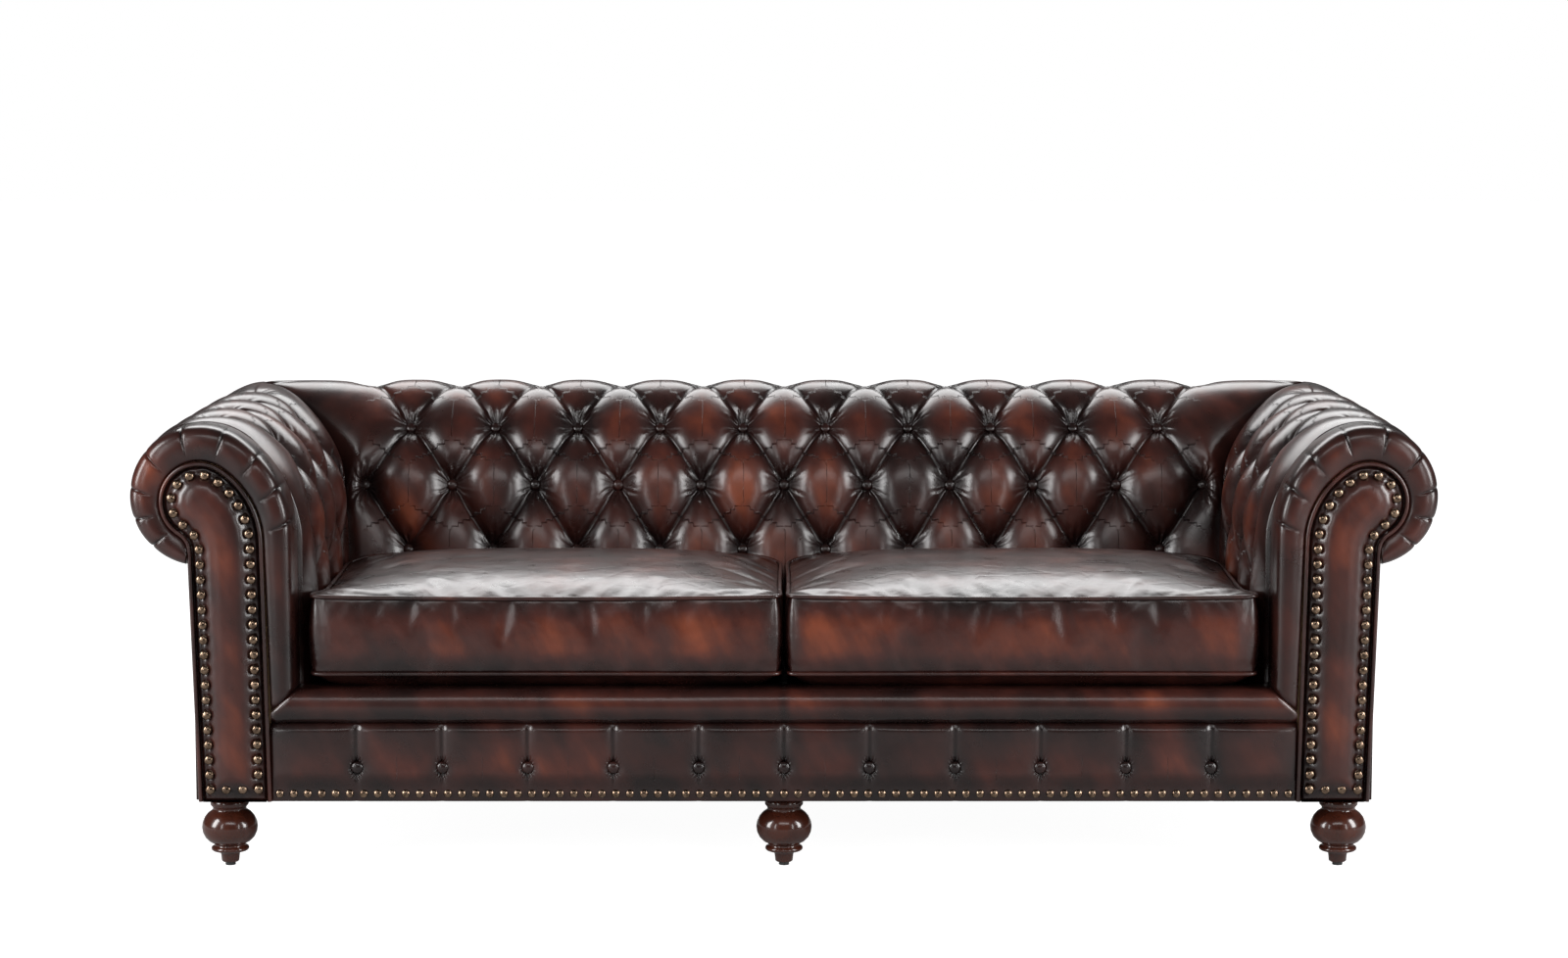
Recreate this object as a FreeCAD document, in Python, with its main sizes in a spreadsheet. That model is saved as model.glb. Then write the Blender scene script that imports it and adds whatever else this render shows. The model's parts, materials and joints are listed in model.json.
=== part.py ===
import FreeCAD, Part
import math
import os
from types import SimpleNamespace

import Sketcher

# A three-seat chesterfield sofa, in millimetres. X runs to the right, the front faces -Y and Z is up.
# The origin is on the floor under the middle of the sofa.

Vector = FreeCAD.Vector
doc = FreeCAD.newDocument("chesterfield_sofa")

# Driving sizes
SIZES = (
    ("sofa_width", 2240), ("sofa_depth", 960), ("foot_height", 122),
    ("roll_height", 654), ("roll_radius", 121), ("outside_set", 17), ("outside_thickness", 6),
    ("shoulder_radius", 250), ("arm_face_set", 163), ("back_face_set", 158), ("back_rake", 12),
    ("strip_face_set", 157), ("strip_shoulder_radius", 205),
    ("pad_thickness", 46), ("crest_gap", 142), ("row_gap", 123),
    ("corner_inset", 206), ("corner_gap", 165), ("arm_corner_inset", 192), ("arm_first_gap", 86), ("butt_gap", 2),
    ("tuft_sink", 13), ("tuft_crown", 14), ("corner_crown", 6.5), ("roll_crown", 6), ("pleat_depth", 4),
    ("facing_thickness", 30), ("facing_head_radius", 61), ("facing_head_drop", 9),
    ("facing_shoulder_radius", 150), ("facing_inner_set", 99.5), ("facing_foot_inner", 108),
    ("facing_outer_set", 14), ("facing_foot_outer", 2), ("facing_hollow_radius", 40),
    ("facing_edge_radius", 12), ("piping_radius", 4), ("piping_sides", 5),
    ("border_depth", 90), ("border_skirt", 30), ("border_crown", 7),
    ("board", 30), ("rail_height", 140), ("panel_thickness", 6), ("top_rail_width", 70), ("top_rail_height", 40),
    ("top_rail_drop", 54), ("tack_rail_height", 30), ("rear_post", 60), ("cross_rail_width", 60),
    ("cross_rail_height", 60), ("cross_rail_spacing", 500), ("block_length", 80), ("block_width", 60),
    ("rib_inset", 38), ("rib_spacing", 260), ("rib_foot", 30),
    ("webbing_thickness", 3), ("webbing_width", 60), ("seat_webbing_pitch", 130), ("back_webbing_pitch", 80),
    ("deck_thickness", 43), ("deck_side_set", 4), ("cover_thickness", 2), ("post_ease", 1.2),
    ("lip_height", 59), ("lip_crown", 24), ("lip_top_depth", 65), ("lip_mitre_drop", 40),
    ("front_border_height", 136), ("front_border_thickness", 14), ("front_border_crown", 7),
    ("front_button_height", 59), ("front_border_bays", 12),
    ("cushion_gap", 2), ("cushion_side_gap", 22), ("cushion_front_set", 25), ("cushion_back_set", 243),
    ("cushion_seam_low", 345), ("cushion_seam_high", 474), ("cushion_crown", 33), ("cushion_edge_soft", 45),
    ("cushion_draw_in", 4), ("cushion_boxing_swell", 3), ("cushion_corner_lift", 5), ("cushion_corner_round", 8),
    ("cushion_piping_radius", 3.5), ("cushion_bottom_edge", 26),
    ("leather", 2), ("zip_width", 8), ("zip_length", 560),
    ("foot_set_side", 50), ("foot_set_front", 75), ("foot_set_back", 71), ("foot_stem_radius", 15),
    ("foot_ring_radius", 32.5), ("foot_ball_radius", 48), ("foot_collar_radius", 33),
    ("glide_height", 6), ("glide_radius", 9), ("bolt_radius", 4), ("bolt_length", 80), ("bolt_in_foot", 34),
    ("bolt_sides", 8), ("turned_sides", 16),
    ("button_radius", 11), ("button_height", 7), ("button_sides", 6), ("button_seat", 6), ("raised_button_seat", 0.8),
    ("front_button_seat", 1.2), ("fit", 0.3),
)

# Places worked out from the driving sizes
PLACES = (
    ("roll_x", "Size.sofa_width / 2 - Size.roll_radius"),
    ("roll_y", "Size.sofa_depth / 2 - Size.roll_radius"),
    ("front_y", "0 - Size.sofa_depth / 2"),
    ("outside_x", "roll_x + Size.outside_set"),
    ("outside_y", "roll_y + Size.outside_set"),
    ("inside_x", "outside_x - Size.outside_thickness"),
    ("inside_y", "outside_y - Size.outside_thickness"),
    ("frame_bottom", "Size.foot_height + Size.cover_thickness"),
    ("rail_top", "frame_bottom + Size.rail_height"),
    ("seat_bottom", "rail_top + Size.webbing_thickness"),
    ("deck_top", "seat_bottom + Size.deck_thickness"),
    ("post_front", "front_y + Size.facing_thickness"),
    ("post_back", "post_front + Size.board"),
    ("pad_front", "front_y + Size.border_depth"),
    ("post_x", "roll_x - Size.strip_face_set + Size.border_skirt + Size.fit"),
    ("pad_side", "roll_x - Size.arm_face_set - 2 * Size.fit"),
    ("deck_side", "pad_side - Size.deck_side_set"),
    ("panel_x", "roll_x - Size.arm_face_set + Size.pad_thickness + Size.fit"),
    ("panel_back_x", "panel_x + Size.panel_thickness"),
    ("top_rail_bottom", "Size.roll_height - Size.top_rail_drop"),
    ("top_rail_top", "top_rail_bottom + Size.top_rail_height"),
    ("strip_x", "roll_x - Size.strip_face_set"),
    ("border_edge_x", "roll_x - Size.facing_foot_inner - 2 * Size.piping_radius"),
    ("lip_bottom", "frame_bottom + Size.front_border_height"),
    ("lip_top", "lip_bottom + Size.lip_height"),
    ("stile_front", "roll_y - Size.arm_face_set + Size.fit"),
    ("foot_x", "outside_x - Size.foot_set_side"),
    ("foot_front_y", "front_y + Size.foot_set_front"),
    ("foot_back_y", "outside_y - Size.foot_set_back"),
    ("block_outer_x", "inside_x - Size.board"),
    ("rear_rail_front", "inside_y - Size.board"),
    ("front_button_pitch", "2 * border_edge_x / Size.front_border_bays"),
    ("rib_x", "strip_x - Size.rib_inset + Size.board / 2"),
    ("cushion_side", "strip_x - Size.cushion_side_gap"),
    ("cushion_front", "front_y + Size.cushion_front_set"),
    ("cushion_back", "roll_y - Size.cushion_back_set"),
)

size_sheet = doc.addObject("Spreadsheet::Sheet", "Size")
for line, (name, value) in enumerate(SIZES, start=1):
    size_sheet.set("A%d" % line, name)
    size_sheet.set("B%d" % line, str(value))
    size_sheet.setAlias("B%d" % line, name)
doc.recompute()
place_sheet = doc.addObject("Spreadsheet::Sheet", "Place")
for line, (name, formula) in enumerate(PLACES, start=1):
    place_sheet.set("A%d" % line, name)
    place_sheet.set("B%d" % line, "=" + formula)
    place_sheet.setAlias("B%d" % line, name)
doc.recompute()

size = SimpleNamespace(**{name: float(size_sheet.get(name)) for name, value in SIZES})
at = SimpleNamespace(**{name: float(place_sheet.get(name)) for name, formula in PLACES})

nodes = []


# Makers of plain pieces

def keep(piece, label):
    piece.Label = label
    nodes.append(piece)
    return piece


def bound_box(name, low, high):
    box = doc.addObject("Part::Box", name)
    for side, axis, start, end in zip(("Length", "Width", "Height"), "xyz", low, high):
        box.setExpression("Placement.Base." + axis, start)
        box.setExpression(side, "(%s) - (%s)" % (end, start))
    return box


def board(label, low, high):
    return keep(bound_box(label, low, high), label)


def mirrored(source, label):
    twin = doc.addObject("Part::Mirroring", label)
    twin.Source = source
    twin.Normal = Vector(1, 0, 0)
    return keep(twin, label)


def coded(label, shape):
    piece = doc.addObject("Part::Feature", label)
    piece.Shape = shape
    piece.Placement = FreeCAD.Placement()
    return keep(piece, label)


def group(label, members):
    compound = doc.addObject("Part::Compound", label)
    compound.Links = members
    return keep(compound, label)


def sketch_on(body, plane, name, offset="0"):
    sketch = body.newObject("Sketcher::SketchObject", name)
    support = [item for item in body.Origin.OriginFeatures if item.Role == plane][0]
    sketch.AttachmentSupport = [(support, "")]
    sketch.MapMode = "FlatFace"
    sketch.setExpression("AttachmentOffset.Base.z", offset)
    return sketch


def bound_polygon(sketch, corners):
    """Closed outline whose corners are pairs of expressions, each held by its distances from the origin."""
    doc.recompute()
    spots = []
    for across, up in corners:
        spots.append(Vector(sketch.evalExpression(across), sketch.evalExpression(up), 0))
    for index, spot in enumerate(spots):
        sketch.addGeometry(Part.LineSegment(spot, spots[(index + 1) % len(spots)]), False)
    for index in range(len(spots)):
        sketch.addConstraint(Sketcher.Constraint("Coincident", index, 2, (index + 1) % len(spots), 1))
    for index, (across, up) in enumerate(corners):
        for kind, formula, value in (("DistanceX", across, spots[index].x), ("DistanceY", up, spots[index].y)):
            held = sketch.addConstraint(Sketcher.Constraint(kind, -1, 1, index, 1, value))
            sketch.setExpression("Constraints[%d]" % held, formula)


def curve_outline(sketch, edges):
    for edge in edges:
        sketch.addGeometry(edge, False)


def padded_body(name, plane, offset, length, corners=None, edges=None):
    body = doc.addObject("PartDesign::Body", name)
    sketch = sketch_on(body, plane, name + "_outline", offset)
    if corners:
        bound_polygon(sketch, corners)
    else:
        curve_outline(sketch, edges)
    pad = body.newObject("PartDesign::Pad", name + "_pad")
    pad.Profile = sketch
    pad.setExpression("Length", length)
    sketch.Visibility = False
    return body


def chain(points):
    """Edges through a list of points; a point followed by a via point and an end makes an arc."""
    edges = []
    here = points[0]
    for step in points[1:]:
        if isinstance(step, tuple):
            edges.append(Part.Arc(here, step[0], step[1]))
            here = step[1]
        else:
            edges.append(Part.LineSegment(here, step))
            here = step
    return edges


# Soft surfaces: a curved patch is drawn through three points each way and laid out in small flat cells

def through(points, share):
    """Spot a share of the way along a line through two points or a curve through three."""
    if len(points) == 2:
        return points[0] + (points[1] - points[0]) * share
    rest = 1 - share
    return points[0] * (rest * (1 - 2 * share)) + points[1] * (4 * share * rest) + points[2] * (share * (2 * share - 1))


def cell(corners):
    """A flat face between four spots, or two faces that share the shorter diagonal where the four lie askew."""
    corners = [spot for k, spot in enumerate(corners) if (spot - corners[k - 1]).Length > 1e-6]
    normal = (corners[1] - corners[0]).cross(corners[2] - corners[0])
    normal.normalize()
    if len(corners) == 3 or abs((corners[3] - corners[0]).dot(normal)) < 1e-7:
        return [Part.Face(Part.makePolygon(corners + corners[:1]))]
    if (corners[0] - corners[2]).Length > (corners[1] - corners[3]).Length:
        corners = corners[1:] + corners[:1]
    halves = (corners[:3], [corners[2], corners[3], corners[0]])
    return [Part.Face(Part.makePolygon(half + half[:1])) for half in halves]


def cells(grid):
    """Faces of a grid of spots."""
    faces = []
    for row, following in zip(grid[:-1], grid[1:]):
        for k in range(len(row) - 1):
            faces += cell([row[k], row[k + 1], following[k + 1], following[k]])
    return faces


def patch(rows, down, across):
    """Cells of the patch through rows of points, so many down the rows and so many across them."""
    lines = [[through(row, k / across) for k in range(across + 1)] for row in rows]
    grid = [[through([line[k] for line in lines], step / down) for k in range(across + 1)] for step in range(down + 1)]
    return cells(grid)


def chords(points, steps):
    """Straight edges along the same line or curve."""
    spots = [through(points, k / steps) for k in range(steps + 1)]
    return [Part.makeLine(start, end) for start, end in zip(spots[:-1], spots[1:])]


def sewn(faces):
    skin = Part.makeCompound(faces)
    skin.sewShape()
    solid = Part.Solid(skin.Shells[0])
    if solid.Volume < 0:
        solid.reverse()
    return solid


def flat_face(edges):
    return Part.Face(Part.Wire(Part.__sortEdges__(edges)))


def tube(lines, closed):
    """Solid between lines of spots that run side by side round it; its ends are capped unless the lines close."""
    faces = []
    for line, beside in zip(lines, lines[1:] + lines[:1]):
        if closed:
            line, beside = line + line[:1], beside + beside[:1]
        faces += cells([line, beside])
    if not closed:
        for end in (0, -1):
            ring = [line[end] for line in lines]
            faces.append(Part.Face(Part.makePolygon(ring + ring[:1])))
    return sewn(faces)


def stacked(rings):
    """Solid through closed rings of spots laid one above another, with a flat face at each end."""
    faces = cells([ring + ring[:1] for ring in rings])
    for ring in (rings[0], rings[-1]):
        faces.append(Part.Face(Part.makePolygon(ring + ring[:1])))
    return sewn(faces)


def ring_of(radius, height, sides):
    """Spots round the Z axis at one height."""
    turns = [2 * math.pi * (step + 0.5) / sides for step in range(sides)]
    reach = radius / math.cos(math.pi / sides)
    return [Vector(reach * math.cos(turn), reach * math.sin(turn), height) for turn in turns]


# The rolled section: an upright or raked face, a wide shoulder arc and the roll, seen end on.
# Every point is given as its distance in front of the roll's centre line and its height.

class Section:
    def __init__(self, face_set, rake, roll_radius, shoulder_radius, height):
        self.rake = math.radians(rake)
        self.roll_radius = roll_radius
        self.shoulder_radius = shoulder_radius
        self.face_set = face_set
        self.height = height
        spread = shoulder_radius - roll_radius
        self.join = self.rake + math.acos((shoulder_radius - face_set) / spread)
        self.shoulder_centre = (-spread * math.cos(self.join), -spread * math.sin(self.join))
        self.crest_run = roll_radius * (math.pi / 2 - self.join)
        self.shoulder_run = shoulder_radius * (self.join - self.rake)

    def by_angle(self, angle, lift=0.0):
        """Point whose outward normal leans this far up from level, in degrees."""
        turn = math.radians(angle)
        if turn >= self.join:
            centre, radius = (0.0, 0.0), self.roll_radius
        else:
            centre, radius = self.shoulder_centre, self.shoulder_radius
        reach = radius + lift
        return (centre[0] + reach * math.cos(turn), self.height + centre[1] + reach * math.sin(turn))

    def by_run(self, run, lift=0.0):
        """Point this far along the section from the crest; a negative run goes over the back of the roll."""
        if run <= self.crest_run:
            return self.by_angle(90 - math.degrees(run / self.roll_radius), lift)
        if run <= self.crest_run + self.shoulder_run:
            return self.by_angle(math.degrees(self.join - (run - self.crest_run) / self.shoulder_radius), lift)
        down = run - self.crest_run - self.shoulder_run
        top = self.by_angle(math.degrees(self.rake), lift)
        return (top[0] + down * math.sin(self.rake), top[1] - down * math.cos(self.rake))

    def by_height(self, height, lift=0.0):
        """Point of the straight face at this height."""
        top = self.by_angle(math.degrees(self.rake), lift)
        return (top[0] + (top[1] - height) * math.tan(self.rake), height)


arm_section = Section(size.arm_face_set, 0, size.roll_radius, size.shoulder_radius, size.roll_height)
back_section = Section(size.back_face_set, size.back_rake, size.roll_radius, size.shoulder_radius, size.roll_height)

# Rows of tufting, as places down the rolled section: row 0 is the crest, row 4 the bottom behind the cushions
# and row -3 the tacking line under the roll
ROW_RUNS = (0.0, size.crest_gap, size.crest_gap + size.row_gap, size.crest_gap + 2 * size.row_gap)
CELLS_DOWN = {-3: 3, -2: 3, -1: 4, 0: 4, 1: 4, 2: 4, 3: 4}
pad_low = at.seat_bottom + size.fit
tack_angle = 270 - math.degrees(math.asin(size.outside_set / size.roll_radius))
lining_reach = size.outside_set - size.outside_thickness + size.fit
lining_tack_angle = 270 - math.degrees(math.asin(lining_reach / (size.roll_radius - size.pad_thickness)))


def between(values, place):
    step = min(int(place), len(values) - 2)
    return values[step] + (values[step + 1] - values[step]) * (place - step)


def section_at(section, row, lift):
    """Distance in front of the roll's centre line and height of a row, lifted off the section."""
    if row > 3:
        low = section.by_height(pad_low, lift)
        high = section.by_run(ROW_RUNS[3], lift)
        share = row - 3
        return (high[0] + (low[0] - high[0]) * share, high[1] + (low[1] - high[1]) * share)
    if row < 0:
        tacked = tack_angle if lift > -size.pad_thickness else lining_tack_angle
        return section.by_angle(between((90, 135, 180, tacked), -row), lift)
    return section.by_run(between(ROW_RUNS, row), lift)


# Frame: hardwood boards, glued and blocked

board("front_seat_rail", ("0 - Place.post_x", "Place.post_front", "Place.frame_bottom"),
      ("Place.post_x", "Place.post_back", "Place.rail_top"))
board("rear_seat_rail", ("0 - Place.block_outer_x", "Place.rear_rail_front", "Place.frame_bottom"),
      ("Place.block_outer_x", "Place.inside_y", "Place.rail_top"))
side_rail = board("right_side_rail", ("Place.block_outer_x", "Place.post_back", "Place.frame_bottom"),
                  ("Place.inside_x", "Place.inside_y", "Place.rail_top"))
mirrored(side_rail, "left_side_rail")


def drilled(name, solid, holes):
    """A block with bolt holes bored up into it."""
    bores = []
    for number, (x, y) in enumerate(holes):
        bore = doc.addObject("Part::Prism", "%s_bore_%d" % (name, number))
        bore.setExpression("Polygon", "Size.bolt_sides")
        bore.setExpression("Circumradius", "Size.bolt_radius + Size.fit")
        bore.setExpression("Height", "Size.bolt_length + Size.fit")
        bore.setExpression("Placement.Base.x", x)
        bore.setExpression("Placement.Base.y", y)
        bore.setExpression("Placement.Base.z", "Size.foot_height - Size.bolt_in_foot")
        bores.append(bore)
    cut = doc.addObject("Part::Cut", name)
    cut.Base = solid
    if len(bores) > 1:
        cut.Tool = doc.addObject("Part::Compound", name + "_bores")
        cut.Tool.Links = bores
    else:
        cut.Tool = bores[0]
    return cut


def cross_rail(name, x):
    return bound_box(name, ("%s - Size.cross_rail_width / 2" % x, "Place.post_back", "Place.frame_bottom"),
                     ("%s + Size.cross_rail_width / 2" % x, "Place.rear_rail_front",
                      "Place.frame_bottom + Size.cross_rail_height"))


middle_rail = drilled("middle_cross_rail", cross_rail("middle_cross_rail_blank", "0"),
                      (("0", "Place.foot_front_y"), ("0", "Place.foot_back_y")))
group("seat_cross_rails", [cross_rail("left_cross_rail", "0 - Size.cross_rail_spacing"), middle_rail,
                           cross_rail("right_cross_rail", "0 + Size.cross_rail_spacing")])


def corner_block(name, side, start, end, foot_y):
    inner, outer = "(Place.block_outer_x - Size.block_width)", "Place.block_outer_x"
    low, high = (inner, outer) if side > 0 else ("0 - " + outer, "0 - " + inner)
    foot = "Place.foot_x" if side > 0 else "0 - Place.foot_x"
    blank = bound_box(name + "_blank", (low, start, "Place.frame_bottom"),
                      (high, end, "Place.frame_bottom + Size.cross_rail_height"))
    return drilled(name, blank, ((foot, foot_y),))


blocks = []
for side, hand in ((-1, "left"), (1, "right")):
    blocks.append(corner_block("%s_front_block" % hand, side, "Place.post_back",
                               "Place.post_back + Size.block_length", "Place.foot_front_y"))
    blocks.append(corner_block("%s_rear_block" % hand, side, "Place.rear_rail_front - Size.block_length",
                               "Place.rear_rail_front", "Place.foot_back_y"))
group("corner_blocks", blocks)


def scroll_spot(spot):
    """Place of a section point on the right arm's front, in the drawing plane of the front."""
    return Vector(at.roll_x - spot[0], spot[1], 0)


strip_section = Section(size.strip_face_set, 0, size.roll_radius, size.strip_shoulder_radius, size.roll_height)
post_lift = -(size.border_skirt + size.post_ease)
post_join = math.degrees(strip_section.join)
post_end = 270 - math.degrees(math.asin((at.inside_x - at.roll_x) / (size.roll_radius + post_lift)))
arm_front_post = padded_body("right_arm_front_post", "XZ_Plane", "0 - Place.post_back", "Size.board", edges=chain([
    Vector(at.post_x, at.frame_bottom, 0),
    scroll_spot(strip_section.by_angle(0, post_lift)),
    (scroll_spot(strip_section.by_angle(post_join / 2, post_lift)), scroll_spot(strip_section.by_angle(post_join, post_lift))),
    (scroll_spot(strip_section.by_angle(150, post_lift)), scroll_spot(strip_section.by_angle(post_end, post_lift))),
    Vector(at.inside_x, at.frame_bottom, 0),
    Vector(at.post_x, at.frame_bottom, 0)]))
keep(arm_front_post, "right_arm_front_post")
mirrored(arm_front_post, "left_arm_front_post")

rear_stile = board("right_arm_rear_stile", ("Place.panel_back_x", "Place.stile_front", "Place.rail_top"),
                   ("Place.inside_x", "Place.stile_front + Size.board", "Place.top_rail_bottom"))
mirrored(rear_stile, "left_arm_rear_stile")
rear_post = board("right_rear_post", ("Place.inside_x - Size.rear_post", "Place.inside_y - Size.rear_post", "Place.rail_top"),
                  ("Place.inside_x", "Place.inside_y", "Place.top_rail_bottom"))
mirrored(rear_post, "left_rear_post")
arm_top_rail = board("right_arm_top_rail", ("Place.inside_x - Size.top_rail_width", "Place.post_back", "Place.top_rail_bottom"),
                     ("Place.inside_x", "Place.inside_y", "Place.top_rail_top"))
mirrored(arm_top_rail, "left_arm_top_rail")
back_top_rail = board("back_top_rail", ("Size.top_rail_width - Place.inside_x", "Place.inside_y - Size.top_rail_width",
                                        "Place.top_rail_bottom"),
                      ("Place.inside_x - Size.top_rail_width", "Place.inside_y", "Place.top_rail_top"))
arm_tack_rail = board("right_arm_tack_rail", ("Place.panel_back_x", "Place.post_back", "Place.seat_bottom"),
                      ("Place.panel_back_x + Size.board", "Place.stile_front", "Place.seat_bottom + Size.tack_rail_height"))
mirrored(arm_tack_rail, "left_arm_tack_rail")
arm_panel = board("right_arm_inner_panel", ("Place.panel_x", "Place.pad_front", "Place.seat_bottom"),
                  ("Place.panel_back_x", "Place.stile_front + Size.board", "Place.top_rail_bottom - 3 * Size.board"))
mirrored(arm_panel, "left_arm_inner_panel")

# Raked back: shaped ribs on the rear rail and the tack rail carry the webbing and the top rail
cover_line = back_section.by_height(0, -size.pad_thickness)[0]
web_thick = size.webbing_thickness / math.cos(back_section.rake)
RAKE = "tan(Size.back_rake * 1 deg)"
web_back = doc.addObject("Spreadsheet::Sheet", "Rake")
web_back.set("A1", "web_back_at_floor")
web_back.set("B1", str(at.roll_y - cover_line + web_thick + size.fit))
web_back.setAlias("B1", "web_back_at_floor")
doc.recompute()


def raked(height):
    return "Rake.web_back_at_floor + (%s) * %s" % (height, RAKE)


TACK_TOP = "Place.seat_bottom + Size.tack_rail_height"
back_tack_rail = padded_body(
    "back_tack_rail", "YZ_Plane", "0 - Place.pad_side", "2 * Place.pad_side",
    corners=((raked("Place.seat_bottom"), "Place.seat_bottom"),
             (raked("Place.seat_bottom") + " + Size.rib_foot", "Place.seat_bottom"),
             (raked(TACK_TOP) + " + Size.rib_foot", TACK_TOP),
             (raked(TACK_TOP), TACK_TOP)))
keep(back_tack_rail, "back_tack_rail")


def back_rib(name, x):
    return padded_body(
        name, "YZ_Plane", "%s - Size.board / 2" % x, "Size.board",
        corners=((raked(TACK_TOP), TACK_TOP),
                 (raked(TACK_TOP) + " + Size.rib_foot", TACK_TOP),
                 ("Place.rear_rail_front", "Place.rail_top"),
                 ("Place.inside_y", "Place.rail_top"),
                 ("Place.inside_y", "Place.top_rail_bottom"),
                 (raked("Place.top_rail_bottom"), "Place.top_rail_bottom")))


group("back_ribs", [back_rib("rib_%d" % number, x) for number, x in enumerate(
    ("0 - Place.rib_x", "0 - Size.rib_spacing", "0 + Size.rib_spacing", "Place.rib_x"))])


# Roll cores: shaped foam round the top rails, mitred at the rear corners

def core_outline(section):
    """The core fills the pad's lining, cell for cell, down to the underside of the top rail."""
    lift = -(size.pad_thickness + size.fit)
    spots = []
    for row in range(-3, 2):
        bend = [Vector(*section_at(section, place, lift), 0) for place in (row, row + 0.5, row + 1)]
        spots += [through(bend, step / CELLS_DOWN[row]) for step in range(CELLS_DOWN[row])]
    spots.append(Vector(*section_at(section, 2, lift), 0))
    while spots[-2].y < at.top_rail_bottom:
        spots.pop()
    low, high = spots[-1], spots[-2]
    spots[-1] = high + (low - high) * ((high.y - at.top_rail_bottom) / (high.y - low.y))
    return spots + [Vector(at.roll_x - at.inside_x, at.top_rail_bottom, 0)]


def core_blank(section, place, start, end):
    ring = [place(spot) for spot in core_outline(section)]
    face = Part.Face(Part.makePolygon(ring + ring[:1]))
    face.translate(start)
    return face.extrude(end - start)


def mitre_wedge(corners):
    ring = [Vector(x, y, 0) for x, y in corners]
    return Part.Face(Part.makePolygon(ring + ring[:1])).extrude(Vector(0, 0, size.sofa_width))


far = size.sofa_width
back_wedge = mitre_wedge(((at.roll_x - at.roll_y, 0), (at.roll_x + far, at.roll_y + far),
                          (-at.roll_x - far, at.roll_y + far), (at.roll_y - at.roll_x, 0)))
arm_wedge = mitre_wedge(((at.roll_x - at.roll_y, 0), (at.roll_x + far, at.roll_y + far), (at.roll_x + far, -far),
                         (at.roll_x - at.roll_y, -far)))
doc.recompute()
rail_space = arm_top_rail.Shape.fuse(back_top_rail.Shape)
arm_core_shape = core_blank(arm_section, lambda spot: Vector(at.roll_x - spot[0], 0, spot[1]),
                            Vector(0, at.post_back, 0), Vector(0, far, 0)).common(arm_wedge).cut(rail_space)
arm_core = coded("right_arm_roll_core", arm_core_shape)
mirrored(arm_core, "left_arm_roll_core")
left_rail_space = rail_space.mirror(Vector(0, 0, 0), Vector(1, 0, 0))
coded("back_roll_core", core_blank(back_section, lambda spot: Vector(0, at.roll_y - spot[0], spot[1]),
                                   Vector(-far, 0, 0), Vector(far, 0, 0)).common(back_wedge).cut(rail_space)
      .cut(left_rail_space))


# Suspension: jute webbing from rail to rail, and the seat deck on it

def seat_strap(number):
    middle = "%g * Size.seat_webbing_pitch" % (number - 5.5)
    return bound_box("seat_strap_%d" % number,
                     ("%s - Size.webbing_width / 2" % middle, "Place.post_front + Size.fit", "Place.rail_top"),
                     ("%s + Size.webbing_width / 2" % middle, "Place.inside_y - Size.fit", "Place.seat_bottom"))


group("seat_webbing", [seat_strap(number) for number in range(12)])


def back_strap(number):
    strap = doc.addObject("Part::Box", "back_strap_%d" % number)
    strap.setExpression("Length", "2 * (Place.rib_x + Size.board / 2)")
    strap.setExpression("Width", "Size.webbing_thickness")
    strap.setExpression("Height", "Size.webbing_width")
    height = "(Place.deck_top + Size.webbing_width / 2 + %d * Size.back_webbing_pitch)" % number
    strap.setExpression("Placement.Base.x", "0 - Place.rib_x - Size.board / 2")
    strap.setExpression("Placement.Base.y", raked(height) + " - Size.webbing_thickness / cos(Size.back_rake * 1 deg)")
    strap.setExpression("Placement.Base.z", height)
    strap.setExpression("Placement.Rotation.Angle", "0 - Size.back_rake")
    strap.Placement.Rotation.Axis = Vector(1, 0, 0)
    strap.setExpression("Placement.Rotation.Axis.x", "1")
    strap.setExpression("Placement.Rotation.Axis.z", "0")
    return strap


group("back_webbing", [back_strap(number) for number in range(3)])

deck_back = at.roll_y - back_section.by_height(pad_low)[0] - size.fit
place_sheet.set("B%d" % (len(PLACES) + 1), str(deck_back))
place_sheet.setAlias("B%d" % (len(PLACES) + 1), "deck_back")
doc.recompute()
board("seat_deck", ("0 - Place.deck_side", "Place.post_front + Size.lip_top_depth - Size.board + Size.fit", "Place.seat_bottom"),
      ("Place.deck_side", "Place.deck_back", "Place.deck_top"))


# Tufted pads: leather drawn down to rows of buttons, with a puffed diamond between each four.
# A spot on a pad is a column number and a row number.

def crown_at(row):
    """Height of the puffed leather between pleats: full on the face, low on the crest and none at the roll's back."""
    if row <= 0:
        return size.roll_crown * max(0.0, 1 + row / 2)
    return (size.roll_crown + (size.tuft_crown - size.roll_crown) * min(row, 1)) * min(1.0, 4 - row)


def pleat_at(row):
    """Depth of a pleat, which runs out at the tacking line and at the bottom behind the cushions."""
    return size.pleat_depth * min(1.0, 1 + row / 3, 4 - row)


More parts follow.
